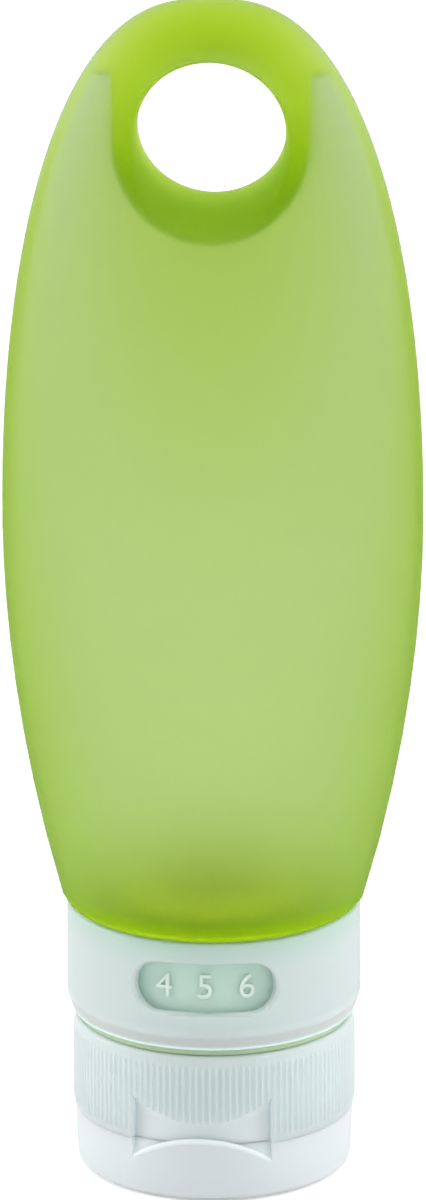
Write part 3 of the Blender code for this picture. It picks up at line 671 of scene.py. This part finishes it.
def window_cutter():
    """The window's cutter, bent round the collar, with a rounded rim."""
    levels = [(COLLAR_RADIUS + WINDOW_REACH, WINDOW_RIM), (COLLAR_RADIUS, WINDOW_RIM)]
    for step in range(1, FILLET_STEPS + 1):
        dip = math.sin(math.pi / 2 * step / FILLET_STEPS)
        levels.append((COLLAR_RADIUS - WINDOW_RIM * dip, WINDOW_RIM * (1 - dip)))
    levels.append((COLLAR_BORE - OVERRUN / 2, 0.0))
    rings = []
    for radius, offset in levels:
        loop = window_loop(offset)

        def ring(number, loop=loop, radius=radius):
            across, up = loop[number]
            angle = across / COLLAR_RADIUS
            return Vector((radius * math.sin(angle), -radius * math.cos(angle), WINDOW_MIDDLE + up))
        rings.append(ring)
    return ringed(rings, 2 * (WINDOW_STEPS + 1))


def build_collar(finish, lip_highlight_finish):
    """The collar, in a paler, opaque plastic at its foot's lip: a painted highlight along the
    foot's edge.
    """
    widening = (COLLAR_RADIUS - COLLAR_FOOT_RADIUS) * COLLAR_LIP / COLLAR_TAPER
    corners = [
        (COLLAR_BORE, COLLAR_FOOT, FINE_EDGE),
        (COLLAR_FOOT_RADIUS, COLLAR_FOOT, EDGE),
        (COLLAR_FOOT_RADIUS + widening, COLLAR_FOOT + COLLAR_LIP, 0),
        (COLLAR_RADIUS, COLLAR_FOOT + COLLAR_TAPER, COLLAR_TAPER_FILLET),
        (COLLAR_RADIUS, COLLAR_TOP, COLLAR_TOP_FILLET),
        (COLLAR_BORE, COLLAR_TOP, FINE_EDGE),
        (COLLAR_BORE, COLLAR_LEDGE_TOP, 0),
        (DIAL_BORE, COLLAR_LEDGE_TOP, 0),
        (DIAL_BORE, COLLAR_LEDGE_FOOT, 0),
        (COLLAR_BORE, COLLAR_LEDGE_FOOT, 0),
    ]
    mesh = carved(turned(rounded(corners)), window_cutter())
    # The foot's lip takes the opaque pale plastic, a painted highlight.
    for face in mesh.faces:
        face.material_index = 1 if face.calc_center_bounds().z < COLLAR_FOOT + COLLAR_LIP else 0
    collar = finished(
        "window_collar", mesh, finish, "collar", ["collar"], WINDOW_TURN
    )
    collar.data.materials.append(lip_highlight_finish)


def build_dial(finish, ink):
    """The dial's ring, and its numbers as raised digits bent round it."""
    foot, top = DIAL_BOX[0].z, DIAL_BOX[1].z
    corners = [
        (DIAL_BORE, foot, EDGE),
        (DIAL_RADIUS, foot, EDGE),
        (DIAL_RADIUS, top, EDGE),
        (DIAL_BORE, top, EDGE),
    ]
    ring = turned(rounded(corners))
    finished("dial_ring", ring, finish, "bottle", ["label_ring"])
    numbers = bmesh.new()
    for number in range(1, DIAL_NUMBERS + 1):
        text = bpy.data.curves.new("number", "FONT")
        text.body = str(number)
        text.align_x = "CENTER"
        text.resolution_u = DIGIT_STEPS
        text.size = NUMBER_HEIGHT / DIGIT_SHARE
        text.extrude = (NUMBER_RISE + SUNK) / 2
        text.bevel_depth = NUMBER_BEVEL
        text.bevel_resolution = 1
        text.offset = -NUMBER_BEVEL
        holder = bpy.data.objects.new("number", text)
        glyph = bpy.data.meshes.new_from_object(holder)
        bpy.data.objects.remove(holder)
        heights = [vertex.co.y for vertex in glyph.vertices]
        centre = (min(heights) + max(heights)) / 2
        middle = DIAL_RADIUS + (NUMBER_RISE - SUNK) / 2
        start = math.tau / DIAL_NUMBERS * (number - DIAL_FRONT_NUMBER)
        for vertex in glyph.vertices:
            angle = start + vertex.co.x / DIAL_RADIUS
            radius = middle + vertex.co.z
            up = WINDOW_MIDDLE + vertex.co.y - centre
            vertex.co = (radius * math.sin(angle), -radius * math.cos(angle), up)
        numbers.from_mesh(glyph)
        bpy.data.meshes.remove(glyph)
    finished("dial_numbers", tidied(numbers), ink, "bottle", [], WINDOW_TURN)


def arc_height(across, middle, end):
    """The height on an arc through its middle height, and its end height at the notch's sides."""
    rise = end - middle
    radius = (NOTCH_HALF_WIDTH**2 + rise**2) / (2 * abs(rise))
    drop = radius - math.sqrt(radius**2 - min(across**2, radius**2))
    return middle + math.copysign(drop, rise)


def notch_cutter(arc_middle, arc_end, far):
    """What the thumb notch takes from the cap, under an arc, or from the lid, over one."""
    surface = math.sqrt(CAP_RADIUS**2 - NOTCH_HALF_WIDTH**2)
    rings = []
    for front in (CAP_RADIUS + OVERRUN, surface - NOTCH_HALF_WIDTH / 2):
        half_width = NOTCH_HALF_WIDTH + (front - surface) * math.tan(NOTCH_DRAFT)

        def ring(number, front=front, half_width=half_width):
            if number > NOTCH_STEPS:
                side = 1 if number == NOTCH_STEPS + 1 else -1
                return Vector((side * half_width, -front, far))
            across = half_width * (2 * number / NOTCH_STEPS - 1)
            return Vector((across, -front, arc_height(across, arc_middle, arc_end)))
        rings.append(ring)
    return ringed(rings, NOTCH_STEPS + 3)


def notch_floor():
    """The core under the notch, whose side is scooped towards the middle of the notch."""
    low, high = -OVERRUN, CAP_TOP
    side = []
    for step in range(SCOOP_STEPS + 1):
        height = low + (high - low) * step / SCOOP_STEPS
        off = min(abs(height - NOTCH_SCOOP_HEIGHT), NOTCH_SCOOP_RADIUS)
        out = NOTCH_SCOOP_RADIUS - math.sqrt(NOTCH_SCOOP_RADIUS**2 - off**2)
        side.append((NOTCH_FLOOR + out, height))
    return turned([(0, low), *side, (0, high)], closed=False)


def mark_notch(mesh, skin_radius):
    """Gives the faces in the thumb notch, under the skin of cap or lid, and on its ridge, the
    second finish: a paler plastic, painted light in the recess's shade and a painted highlight on
    the ridge.
    """
    for face in mesh.faces:
        place = face.calc_center_bounds()
        out = math.hypot(place.x, place.y)
        within = place.y < 0 and abs(place.x) < NOTCH_HALF_WIDTH + OVERRUN / 2
        level = NOTCH_LOW_END - RIDGE_RADIUS < place.z < NOTCH_TOP_END + SUNK
        under = NOTCH_FLOOR - SUNK < out < skin_radius(place.z) - UNDER_SKIN
        arc = arc_height(place.x, NOTCH_LOW_MIDDLE, NOTCH_LOW_END)
        ridge = out > NOTCH_FLOOR and abs(place.z - arc) < ON_RIDGE
        on_skin = abs(out - skin_radius(place.z)) < ON_SKIN
        upright = abs(face.normal.z) < UPRIGHT_TILT and on_skin
        face.material_index = 1 if within and level and not upright and (under or ridge) else 0


def hinge_land(foot, top):
    """A flat pad at the back for the hinge strap, between two heights."""
    half_width = STRAP_WIDTH / 2 + LAND_MARGIN
    inside = LAND_FACE - LAND_DEPTH
    points = [
        (-half_width, inside, foot),
        (half_width, inside, foot),
        (half_width, LAND_FACE, foot),
        (-half_width, LAND_FACE, foot),
    ]
    return prism(points, (0, 0, top - foot))


def rib_rise(number):
    """How far a point of the skirt stands out, and the angle at which it stands."""
    rib, phase = divmod(number, len(RIB_PHASE_SHARES))
    angle = math.tau * (rib + 0.5 + RIB_PHASE_SHARES[phase]) / RIB_COUNT
    half_land = STRAP_WIDTH / 2 + LAND_MARGIN + RIB_HEIGHT
    across = math.remainder(math.tau * (rib + 0.5) / RIB_COUNT - math.pi / 2, math.tau) * CAP_RADIUS
    rise = 0.0 if abs(across) < half_land else RIB_HEIGHT * RIB_RISE_SHARES[phase]
    return rise, angle


def ribbed_skirt():
    """The cap as turned rings, whose outside rings carry the grip ribs."""
    deck_top = CAP_FOOT + CAP_DECK
    ring_inside = LOCATING_RADIUS - LOCATING_WALL
    inner = rounded([
        (SKIRT_RADIUS, CAP_FOOT, THIN_EDGE),
        (SKIRT_RADIUS, CAP_TOP, CAP_TOP_FILLET),
        (CAP_BORE, CAP_TOP, EDGE),
        (CAP_BORE, deck_top, DECK_FILLET),
        (SOCKET_RADIUS, deck_top, 0),
        (SOCKET_RADIUS, deck_top + SOCKET_HEIGHT, 0),
        (SOCKET_BORE, deck_top + SOCKET_HEIGHT, 0),
        (SOCKET_BORE, deck_top, 0),
        (SPOUT_BORE, deck_top, 0),
        (SPOUT_BORE, SPOUT_MOUTH, 0),
        (SPOUT_RADIUS, SPOUT_MOUTH, SPOUT_FILLET),
        (SPOUT_RADIUS, CAP_FOOT, EDGE),
        (ring_inside, CAP_FOOT, 0),
        (ring_inside, CAP_FOOT - LOCATING_DEPTH, FINE_EDGE),
        (LOCATING_RADIUS, CAP_FOOT - LOCATING_DEPTH, EDGE),
        (LOCATING_RADIUS, CAP_FOOT, 0),
    ])
    outline = []
    for index, point in enumerate(inner):
        outline.append((point.x, point.y, 0.0))
        if index == FILLET_STEPS:
            for share in RIB_FADE_SHARES:
                outline.append((SKIRT_RADIUS, RIB_FOOT + RIB_FADE * share, share))
            for share in reversed(RIB_FADE_SHARES):
                outline.append((SKIRT_RADIUS, RIB_TOP - RIB_FADE * share, share))
    count = RIB_COUNT * len(RIB_PHASE_SHARES)
    mesh, edges, turn = numbered_circle(count)

    def place_ring(verts, radius, height, share):
        for vert in verts:
            rise, angle = rib_rise(vert[turn])
            out = radius + rise * share
            vert.co = (out * math.cos(angle), out * math.sin(angle), height)

    place_ring(mesh.verts, *outline[0])
    first = list(mesh.edges)
    for row in outline[1:]:
        verts, edges = grown(mesh, edges)
        place_ring(verts, *row)
    bmesh.ops.bridge_loops(mesh, edges=first + edges)
    return tidied(mesh)


def build_cap(finish, notch_light_finish):
    """The ribbed cap, with its land for the strap and its half of the notch."""
    mesh = ribbed_skirt()
    land_top = HINGE_HEIGHT + STRAP_HEIGHT / 2 + LAND_MARGIN
    mesh = carved(mesh, hinge_land(CAP_FOOT + LAND_STEP, land_top), "UNION")
    under = notch_cutter(NOTCH_TOP_MIDDLE, NOTCH_TOP_END, CAP_FOOT - OVERRUN)
    mesh = carved(mesh, carved(under, notch_floor()))
    mark_notch(mesh, lambda height: SKIRT_RADIUS)
    cap = finished("ribbed_cap", mesh, finish, "cap", ["cap_base"], CAP_TURN)
    cap.data.materials.append(notch_light_finish)


def lid_skin_radius(height):
    """The radius of the lid's outer wall, which widens a little towards the cap."""
    return LID_RADIUS - (LID_RADIUS - LID_FOOT_RADIUS) * max(0.0, 1 - height / LID_HEIGHT)


def notch_ridge():
    """A slim round ridge along the lid's edge of the notch, thinner at its ends."""
    def place_at(step):
        across = NOTCH_HALF_WIDTH * (2 * step / NOTCH_STEPS - 1)
        up = arc_height(across, NOTCH_LOW_MIDDLE, NOTCH_LOW_END)
        out = lid_skin_radius(up) + RIDGE_PROUD - RIDGE_RADIUS
        return Vector((across, -math.sqrt(out**2 - across**2), up))

    rings = []
    for step in range(NOTCH_STEPS + 1):
        here = place_at(step)
        along = (place_at(step + 1) - place_at(step - 1)).normalized()
        outward = Vector((here.x, here.y, 0)).normalized()
        outward = (outward - along * outward.dot(along)).normalized()
        aside = along.cross(outward)
        end = min(step, NOTCH_STEPS - step) / NOTCH_STEPS / RIDGE_END_SHARE
        radius = RIDGE_RADIUS * math.sin(math.pi / 2 * min(end + RIDGE_END_START, 1.0))

        def ring(number, here=here, outward=outward, aside=aside, radius=radius):
            turn = math.tau * number / RIDGE_TURNS
            return here + (outward * math.cos(turn) + aside * math.sin(turn)) * radius
        rings.append(ring)
    return ringed(rings, RIDGE_TURNS)


def build_lid(finish, notch_light_finish):
    """The lid, with its sealing ring and nub, thumb lip, land and its half of the notch."""
    inside = LID_FOOT_RADIUS - LID_WALL
    corners = [
        (0, 0, 0),
        (LID_FOOT_RADIUS, 0, LID_FOOT_FILLET),
        (LID_RADIUS, LID_HEIGHT, THIN_EDGE),
        (LID_RADIUS - LID_WALL, LID_HEIGHT, THIN_EDGE),
        (inside, LID_FLOOR, LID_FLOOR_FILLET),
        (SEAL_RING_BORE + SEAL_RING_WALL, LID_FLOOR, EDGE),
        (SEAL_RING_BORE + SEAL_RING_WALL, SEAL_RING_TOP, EDGE),
        (SEAL_RING_BORE, SEAL_RING_TOP, EDGE),
        (SEAL_RING_BORE, LID_FLOOR, EDGE),
        (NUB_RADIUS, LID_FLOOR, EDGE),
        (NUB_RADIUS, NUB_TOP, NUB_FILLET),
        (0, NUB_TOP, 0),
    ]
    mesh = turned(rounded(corners), closed=False)
    lip_inside = LID_RADIUS - LIP_THICKNESS
    lip = [
        (lip_inside, LID_HEIGHT - SUNK),
        (LID_RADIUS, LID_HEIGHT - SUNK),
        (LID_RADIUS, LID_HEIGHT + LIP_RISE),
        (lip_inside, LID_HEIGHT + LIP_RISE),
    ]
    steps = round(ROUND * LIP_SPAN / math.tau)
    mesh = carved(mesh, swept(lip, -math.pi / 2 - LIP_SPAN / 2, LIP_SPAN, steps), "UNION")
    land_foot = HINGE_HEIGHT - STRAP_HEIGHT / 2 - LAND_MARGIN
    mesh = carved(mesh, hinge_land(land_foot, LID_HEIGHT - LAND_STEP), "UNION")
    over = notch_cutter(NOTCH_LOW_MIDDLE, NOTCH_LOW_END, CAP_FOOT + CAP_DECK)
    mesh = carved(mesh, carved(over, notch_floor()))
    mesh = carved(mesh, notch_ridge(), "UNION")
    mark_notch(mesh, lid_skin_radius)
    lid = finished("thumb_lid", mesh, finish, "lid", ["flip_lid"], CAP_TURN)
    lid.data.materials.append(notch_light_finish)


def build_strap(finish):
    """The strap, thinned from outside where it folds, with enough rows to bend."""
    outside = STRAP_INSIDE + STRAP_THICKNESS
    fold = STRAP_INSIDE + STRAP_FOLD_THICKNESS
    half = STRAP_HEIGHT / 2
    thin = STRAP_FOLD_HEIGHT / 2
    slope = STRAP_THICKNESS - STRAP_FOLD_THICKNESS
    mesh = bmesh.new()
    face = mesh.faces.new([
        mesh.verts.new((side * STRAP_WIDTH / 2, back, HINGE_HEIGHT - half))
        for side, back in ((-1, STRAP_INSIDE), (1, STRAP_INSIDE), (1, outside), (-1, outside))
    ])
    for row in range(1, STRAP_ROWS + 1):
        made = bmesh.ops.extrude_face_region(mesh, geom=[face])
        verts = [item for item in made["geom"] if isinstance(item, bmesh.types.BMVert)]
        if row > 1:
            bmesh.ops.delete(mesh, geom=[face], context="FACES_ONLY")
        face = [item for item in made["geom"] if isinstance(item, bmesh.types.BMFace)][0]
        up = half * (2 * row / STRAP_ROWS - 1)
        share = min(max((abs(up) - thin) / slope, 0.0), 1.0)
        back_face = fold + (outside - fold) * share
        middle = STRAP_INSIDE + STRAP_FOLD_THICKNESS / 2
        for vert in verts:
            vert.co.z = HINGE_HEIGHT + up
            if vert.co.y > middle:
                vert.co.y = back_face
    tidied(mesh)
    strap = finished("hinge_web", mesh, finish, None, ["hinge_strap"], CAP_TURN)
    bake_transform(strap)


def new_material(name):
    """A material with nodes, and its nodes, links and shader."""
    made = bpy.data.materials.new(name)
    made.use_nodes = True
    nodes = made.node_tree.nodes
    return made, nodes, made.node_tree.links, nodes["Principled BSDF"]


def add_fine_bump(nodes, links, shader, scale, distance, strength):
    """A fine grain of the mould on the surface, from Object coordinates."""
    place = nodes.new("ShaderNodeTexCoord")
    noise = nodes.new("ShaderNodeTexNoise")
    noise.inputs["Scale"].default_value = scale
    noise.inputs["Detail"].default_value = GRAIN_DETAIL
    links.new(place.outputs["Object"], noise.inputs["Vector"])
    bump = nodes.new("ShaderNodeBump")
    bump.inputs["Strength"].default_value = strength
    bump.inputs["Distance"].default_value = distance
    links.new(noise.outputs["Fac"], bump.inputs["Height"])
    links.new(bump.outputs["Normal"], shader.inputs["Normal"])


def frosted_silicone():
    """The body's silicone, which light goes through, greener where it is thicker."""
    made, nodes, links, shader = new_material("frosted_green_silicone")
    shader.inputs["Base Color"].default_value = (0.765, 0.818, 1.0, 1.0)
    shader.inputs["Roughness"].default_value = 0.72
    shader.inputs["IOR"].default_value = SILICONE_IOR
    shader.inputs["Specular Tint"].default_value = (0.72, 1.0, 0.12, 1.0)
    shader.inputs["Transmission Weight"].default_value = 1.0
    add_fine_bump(nodes, links, shader, *SILICONE_GRAIN)
    add_silicone_depth(nodes, links)
    return made


def add_silicone_depth(nodes, links):
    """The green that deepens with the thickness of the silicone."""
    absorb = nodes.new("ShaderNodeVolumeAbsorption")
    absorb.inputs["Color"].default_value = (0.803, 0.895, 0.068, 1.0)
    absorb.inputs["Density"].default_value = 470.0
    links.new(absorb.outputs["Volume"], nodes["Material Output"].inputs["Volume"])


def add_milkiness(shader, transmission, scale):
    """Light that spreads under the surface, beside a share that goes straight through."""
    shader.inputs["Transmission Weight"].default_value = transmission
    shader.inputs["Subsurface Weight"].default_value = 1.0
    shader.inputs["Subsurface Radius"].default_value = (1.0, 1.0, 1.0)
    shader.inputs["Subsurface Scale"].default_value = scale


def milky_silicone():
    """The bead's silicone, painted paler where it shows between collar and cap: painted light in
    the shaded gap.
    """
    made, nodes, links, shader = new_material("bead_green_silicone_painted_light")
    shader.inputs["Base Color"].default_value = (0.64, 1.0, 0.50, 1.0)
    shader.inputs["Roughness"].default_value = 0.60
    shader.inputs["IOR"].default_value = SILICONE_IOR
    add_milkiness(shader, 0.20, 0.0020)
    add_fine_bump(nodes, links, shader, *SILICONE_GRAIN)
    add_silicone_depth(nodes, links)
    return made


def thick_silicone():
    """The silicone's own full green, opaque where it is too thick to see through, at near-full
    brightness as painted light for the glow that shines through the neck into its bore.
    """
    made, nodes, links, shader = new_material("thick_green_silicone_painted_glow")
    shader.inputs["Base Color"].default_value = (0.98, 1.0, 0.07, 1.0)
    shader.inputs["Roughness"].default_value = 0.70
    shader.inputs["IOR"].default_value = SILICONE_IOR
    shader.inputs["Specular IOR Level"].default_value = 0.2
    add_fine_bump(nodes, links, shader, *SILICONE_GRAIN)
    return made


def frosted_plastic(name, colour, transmission, scale):
    """Milky plastic, with the share of light that goes through it and how far light spreads."""
    made, nodes, links, shader = new_material(name)
    shader.inputs["Base Color"].default_value = colour
    shader.inputs["Roughness"].default_value = 0.50
    shader.inputs["IOR"].default_value = PLASTIC_IOR
    add_milkiness(shader, transmission, scale)
    add_fine_bump(nodes, links, shader, *FROSTED_GRAIN)
    return made


def colour_by_height(made, low, high, stops):
    """A base colour that runs through stops of (share, colour) between two heights."""
    nodes, links = made.node_tree.nodes, made.node_tree.links
    place = nodes.new("ShaderNodeTexCoord")
    apart = nodes.new("ShaderNodeSeparateXYZ")
    links.new(place.outputs["Object"], apart.inputs["Vector"])
    climb = nodes.new("ShaderNodeMapRange")
    climb.inputs["From Min"].default_value = low
    climb.inputs["From Max"].default_value = high
    links.new(apart.outputs["Z"], climb.inputs["Value"])
    ramp = nodes.new("ShaderNodeValToRGB")
    elements = ramp.color_ramp.elements
    elements[0].position, elements[0].color = stops[0]
    elements[1].position, elements[1].color = stops[-1]
    for share, colour in stops[1:-1]:
        elements.new(share).color = colour
    links.new(climb.outputs["Result"], ramp.inputs["Fac"])
    links.new(ramp.outputs["Color"], nodes["Principled BSDF"].inputs["Base Color"])


def collar_plastic():
    """Frosted plastic with painted light: paler at its thin foot and up its taper, a painted
    highlight along the foot's edge, and greener at its top, painted green light from the silicone.
    """
    made = frosted_plastic("frosted_collar_plastic_painted_light", COLLAR_COLOUR, 0.40, 0.0015)
    # Painted light: the pale stops near the foot are a painted highlight, and the green stop at the
    # top is painted green light from the silicone.
    colour_by_height(made, COLLAR_FOOT, COLLAR_TOP, (
        (0.05, (0.88, 1.0, 1.0, 1.0)),
        (0.13, (0.85, 0.96, 0.97, 1.0)),
        (0.22, COLLAR_COLOUR),
        (0.74, COLLAR_COLOUR),
        (1.0, (0.68, 0.86, 0.79, 1.0)),
    ))
    return made


def dial_plastic():
    made, nodes, links, shader = new_material("dial_white_plastic")
    shader.inputs["Base Color"].default_value = (0.61, 0.84, 0.72, 1.0)
    shader.inputs["Roughness"].default_value = 0.40
    shader.inputs["IOR"].default_value = 1.30
    add_milkiness(shader, 0.0, 0.0040)
    add_fine_bump(nodes, links, shader, *DIAL_GRAIN)
    return made


def tinted_plastic():
    """Green plastic, plainer at the thread and painted brighter above it, where silicone covers it:
    painted light for the glow through the silicone neck.
    """
    made, nodes, links, shader = new_material("green_insert_plastic_painted_glow")
    # The bright upper stop is painted light, the glow through the silicone neck.
    colour_by_height(made, CAP_TOP, COLLAR_FOOT, (
        (0.0, (0.42, 0.68, 0.16, 1.0)),
        (1.0, (0.90, 0.98, 0.05, 1.0)),
    ))
    shader.inputs["Roughness"].default_value = 0.40
    shader.inputs["IOR"].default_value = PLASTIC_IOR
    add_milkiness(shader, 0.10, 0.0010)
    add_fine_bump(nodes, links, shader, *SATIN_GRAIN)
    return made


def number_paint():
    made, nodes, links, shader = new_material("pale_number_paint")
    shader.inputs["Base Color"].default_value = (0.71, 0.85, 0.79, 1.0)
    shader.inputs["Roughness"].default_value = 0.45
    add_fine_bump(nodes, links, shader, *PAINT_GRAIN)
    return made


def satin_plastic():
    made, nodes, links, shader = new_material("satin_white_plastic")
    shader.inputs["Base Color"].default_value = (0.86, 0.88, 0.88, 1.0)
    shader.inputs["Roughness"].default_value = 0.38
    add_fine_bump(nodes, links, shader, *SATIN_GRAIN)
    return made


def clear_silicone():
    made, nodes, links, shader = new_material("clear_silicone")
    shader.inputs["Base Color"].default_value = (0.86, 0.88, 0.88, 1.0)
    shader.inputs["Roughness"].default_value = 0.40
    shader.inputs["IOR"].default_value = PLASTIC_IOR
    shader.inputs["Transmission Weight"].default_value = 0.50
    add_fine_bump(nodes, links, shader, *SATIN_GRAIN)
    return made


def white_to_the_eye(made, extra):
    """Adds a white glow of a strength that only eye, mirror and glass rays see."""
    nodes, links = made.node_tree.nodes, made.node_tree.links
    path = nodes.new("ShaderNodeLightPath")
    either = nodes.new("ShaderNodeMath")
    either.operation = "MAXIMUM"
    links.new(path.outputs["Is Camera Ray"], either.inputs[0])
    links.new(path.outputs["Is Glossy Ray"], either.inputs[1])
    third = nodes.new("ShaderNodeMath")
    third.operation = "MAXIMUM"
    links.new(either.outputs[0], third.inputs[0])
    links.new(path.outputs["Is Transmission Ray"], third.inputs[1])
    strength = nodes.new("ShaderNodeMath")
    strength.operation = "MULTIPLY"
    strength.inputs[1].default_value = extra
    links.new(third.outputs[0], strength.inputs[0])
    return strength.outputs[0]


def build_stage():
    """A pale floor, a white surround and soft studio light."""
    mesh = bmesh.new()
    bmesh.ops.create_grid(mesh, x_segments=1, y_segments=1, size=FLOOR_REACH)
    bmesh.ops.translate(mesh, verts=mesh.verts, vec=(0, 0, -FLOOR_DROP))
    floor = object_from("floor", mesh)
    made, nodes, links, shader = new_material("pale_floor")
    shader.inputs["Base Color"].default_value = (0.90, 0.90, 0.90, 1.0)
    shader.inputs["Roughness"].default_value = 0.9
    shader.inputs["Specular IOR Level"].default_value = 0.0
    shader.inputs["Emission Color"].default_value = (1, 1, 1, 1)
    links.new(white_to_the_eye(made, FLOOR_GLOW), shader.inputs["Emission Strength"])
    floor.data.materials.append(made)

    world = bpy.data.worlds.new("studio")
    world.use_nodes = True
    bpy.context.scene.world = world
    nodes, links = world.node_tree.nodes, world.node_tree.links
    background = nodes["Background"]
    background.inputs["Color"].default_value = (1, 1, 1, 1)
    seen = white_to_the_eye(world, 1.0)
    base = nodes.new("ShaderNodeMath")
    base.operation = "MAXIMUM"
    base.inputs[1].default_value = ROOM_LIGHT
    links.new(seen, base.inputs[0])
    links.new(base.outputs[0], background.inputs["Strength"])

    for name, place, size, power in SOFTBOXES:
        lamp = bpy.data.lights.new(name, "AREA")
        lamp.size = size
        lamp.energy = power
        holder = bpy.data.objects.new(name, lamp)
        holder.location = place
        aim = LIGHT_AIM - Vector(place)
        holder.rotation_euler = aim.to_track_quat("-Z", "Y").to_euler()
        bpy.context.collection.objects.link(holder)


def build_camera():
    """The photo's view, with a lens that takes in VIEW_HEIGHT at the camera's distance."""
    lens = bpy.data.cameras.new("camera")
    lens.sensor_fit = "VERTICAL"
    lens.sensor_height = SENSOR_HEIGHT_MM
    lens.lens = SENSOR_HEIGHT_MM * CAMERA_DISTANCE / VIEW_HEIGHT
    lens.clip_end = CAMERA_REACH
    camera = bpy.data.objects.new("camera", lens)
    level = math.cos(CAMERA_ELEVATION)
    direction = Vector((
        math.sin(CAMERA_AZIMUTH) * level,
        -math.cos(CAMERA_AZIMUTH) * level,
        math.sin(CAMERA_ELEVATION),
    ))
    camera.location = CAMERA_AIM + direction * CAMERA_DISTANCE
    upright = (-direction).to_track_quat("-Z", "Y")
    camera.rotation_euler = (upright @ Quaternion((0, 0, 1), CAMERA_ROLL)).to_euler()
    bpy.context.collection.objects.link(camera)
    bpy.context.scene.camera = camera


def dress_inner_nodes():
    """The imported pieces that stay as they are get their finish."""
    white = satin_plastic()
    clear = clear_silicone()
    for node, finish, slot in (
        ("neck_insert", tinted_plastic(), "green_plastic"),
        ("valve_retainer", white, "white_plastic"),
        ("cap_seal", clear, "clear_silicone"),
        ("valve", clear, "clear_silicone"),
    ):
        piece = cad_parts[node]
        piece.data.materials.clear()
        piece.data.materials.append(finish)


def main():
    bpy.context.scene.view_settings.view_transform = "Standard"
    build_camera()
    build_stage()
    # The collar's foot lip: an opaque pale plastic, a painted highlight along the foot's edge.
    lip_highlight_plastic = frosted_plastic("collar_lip_painted_highlight", (0.72, 0.91, 0.89, 1.0), 0.0, 0.0005)
    # A paler plastic for the thumb notch: painted light in its shaded recess and a painted
    # highlight on its ridge.
    notch_lightened_plastic = frosted_plastic("notch_plastic_painted_light", (0.83, 0.90, 0.93, 1.0), 0.10, 0.0010)
    cap_plastic = frosted_plastic("frosted_cap_plastic", (0.775, 0.865, 0.875, 1.0), 0.25, 0.0015)
    lid_plastic = frosted_plastic("frosted_lid_plastic", (0.79, 0.845, 0.87, 1.0), 0.15, 0.0015)
    build_body(frosted_silicone(), thick_silicone(), milky_silicone())
    build_collar(collar_plastic(), lip_highlight_plastic)
    build_dial(dial_plastic(), number_paint())
    build_cap(cap_plastic, notch_lightened_plastic)
    build_lid(lid_plastic, notch_lightened_plastic)
    build_strap(lid_plastic)
    dress_inner_nodes()


main()
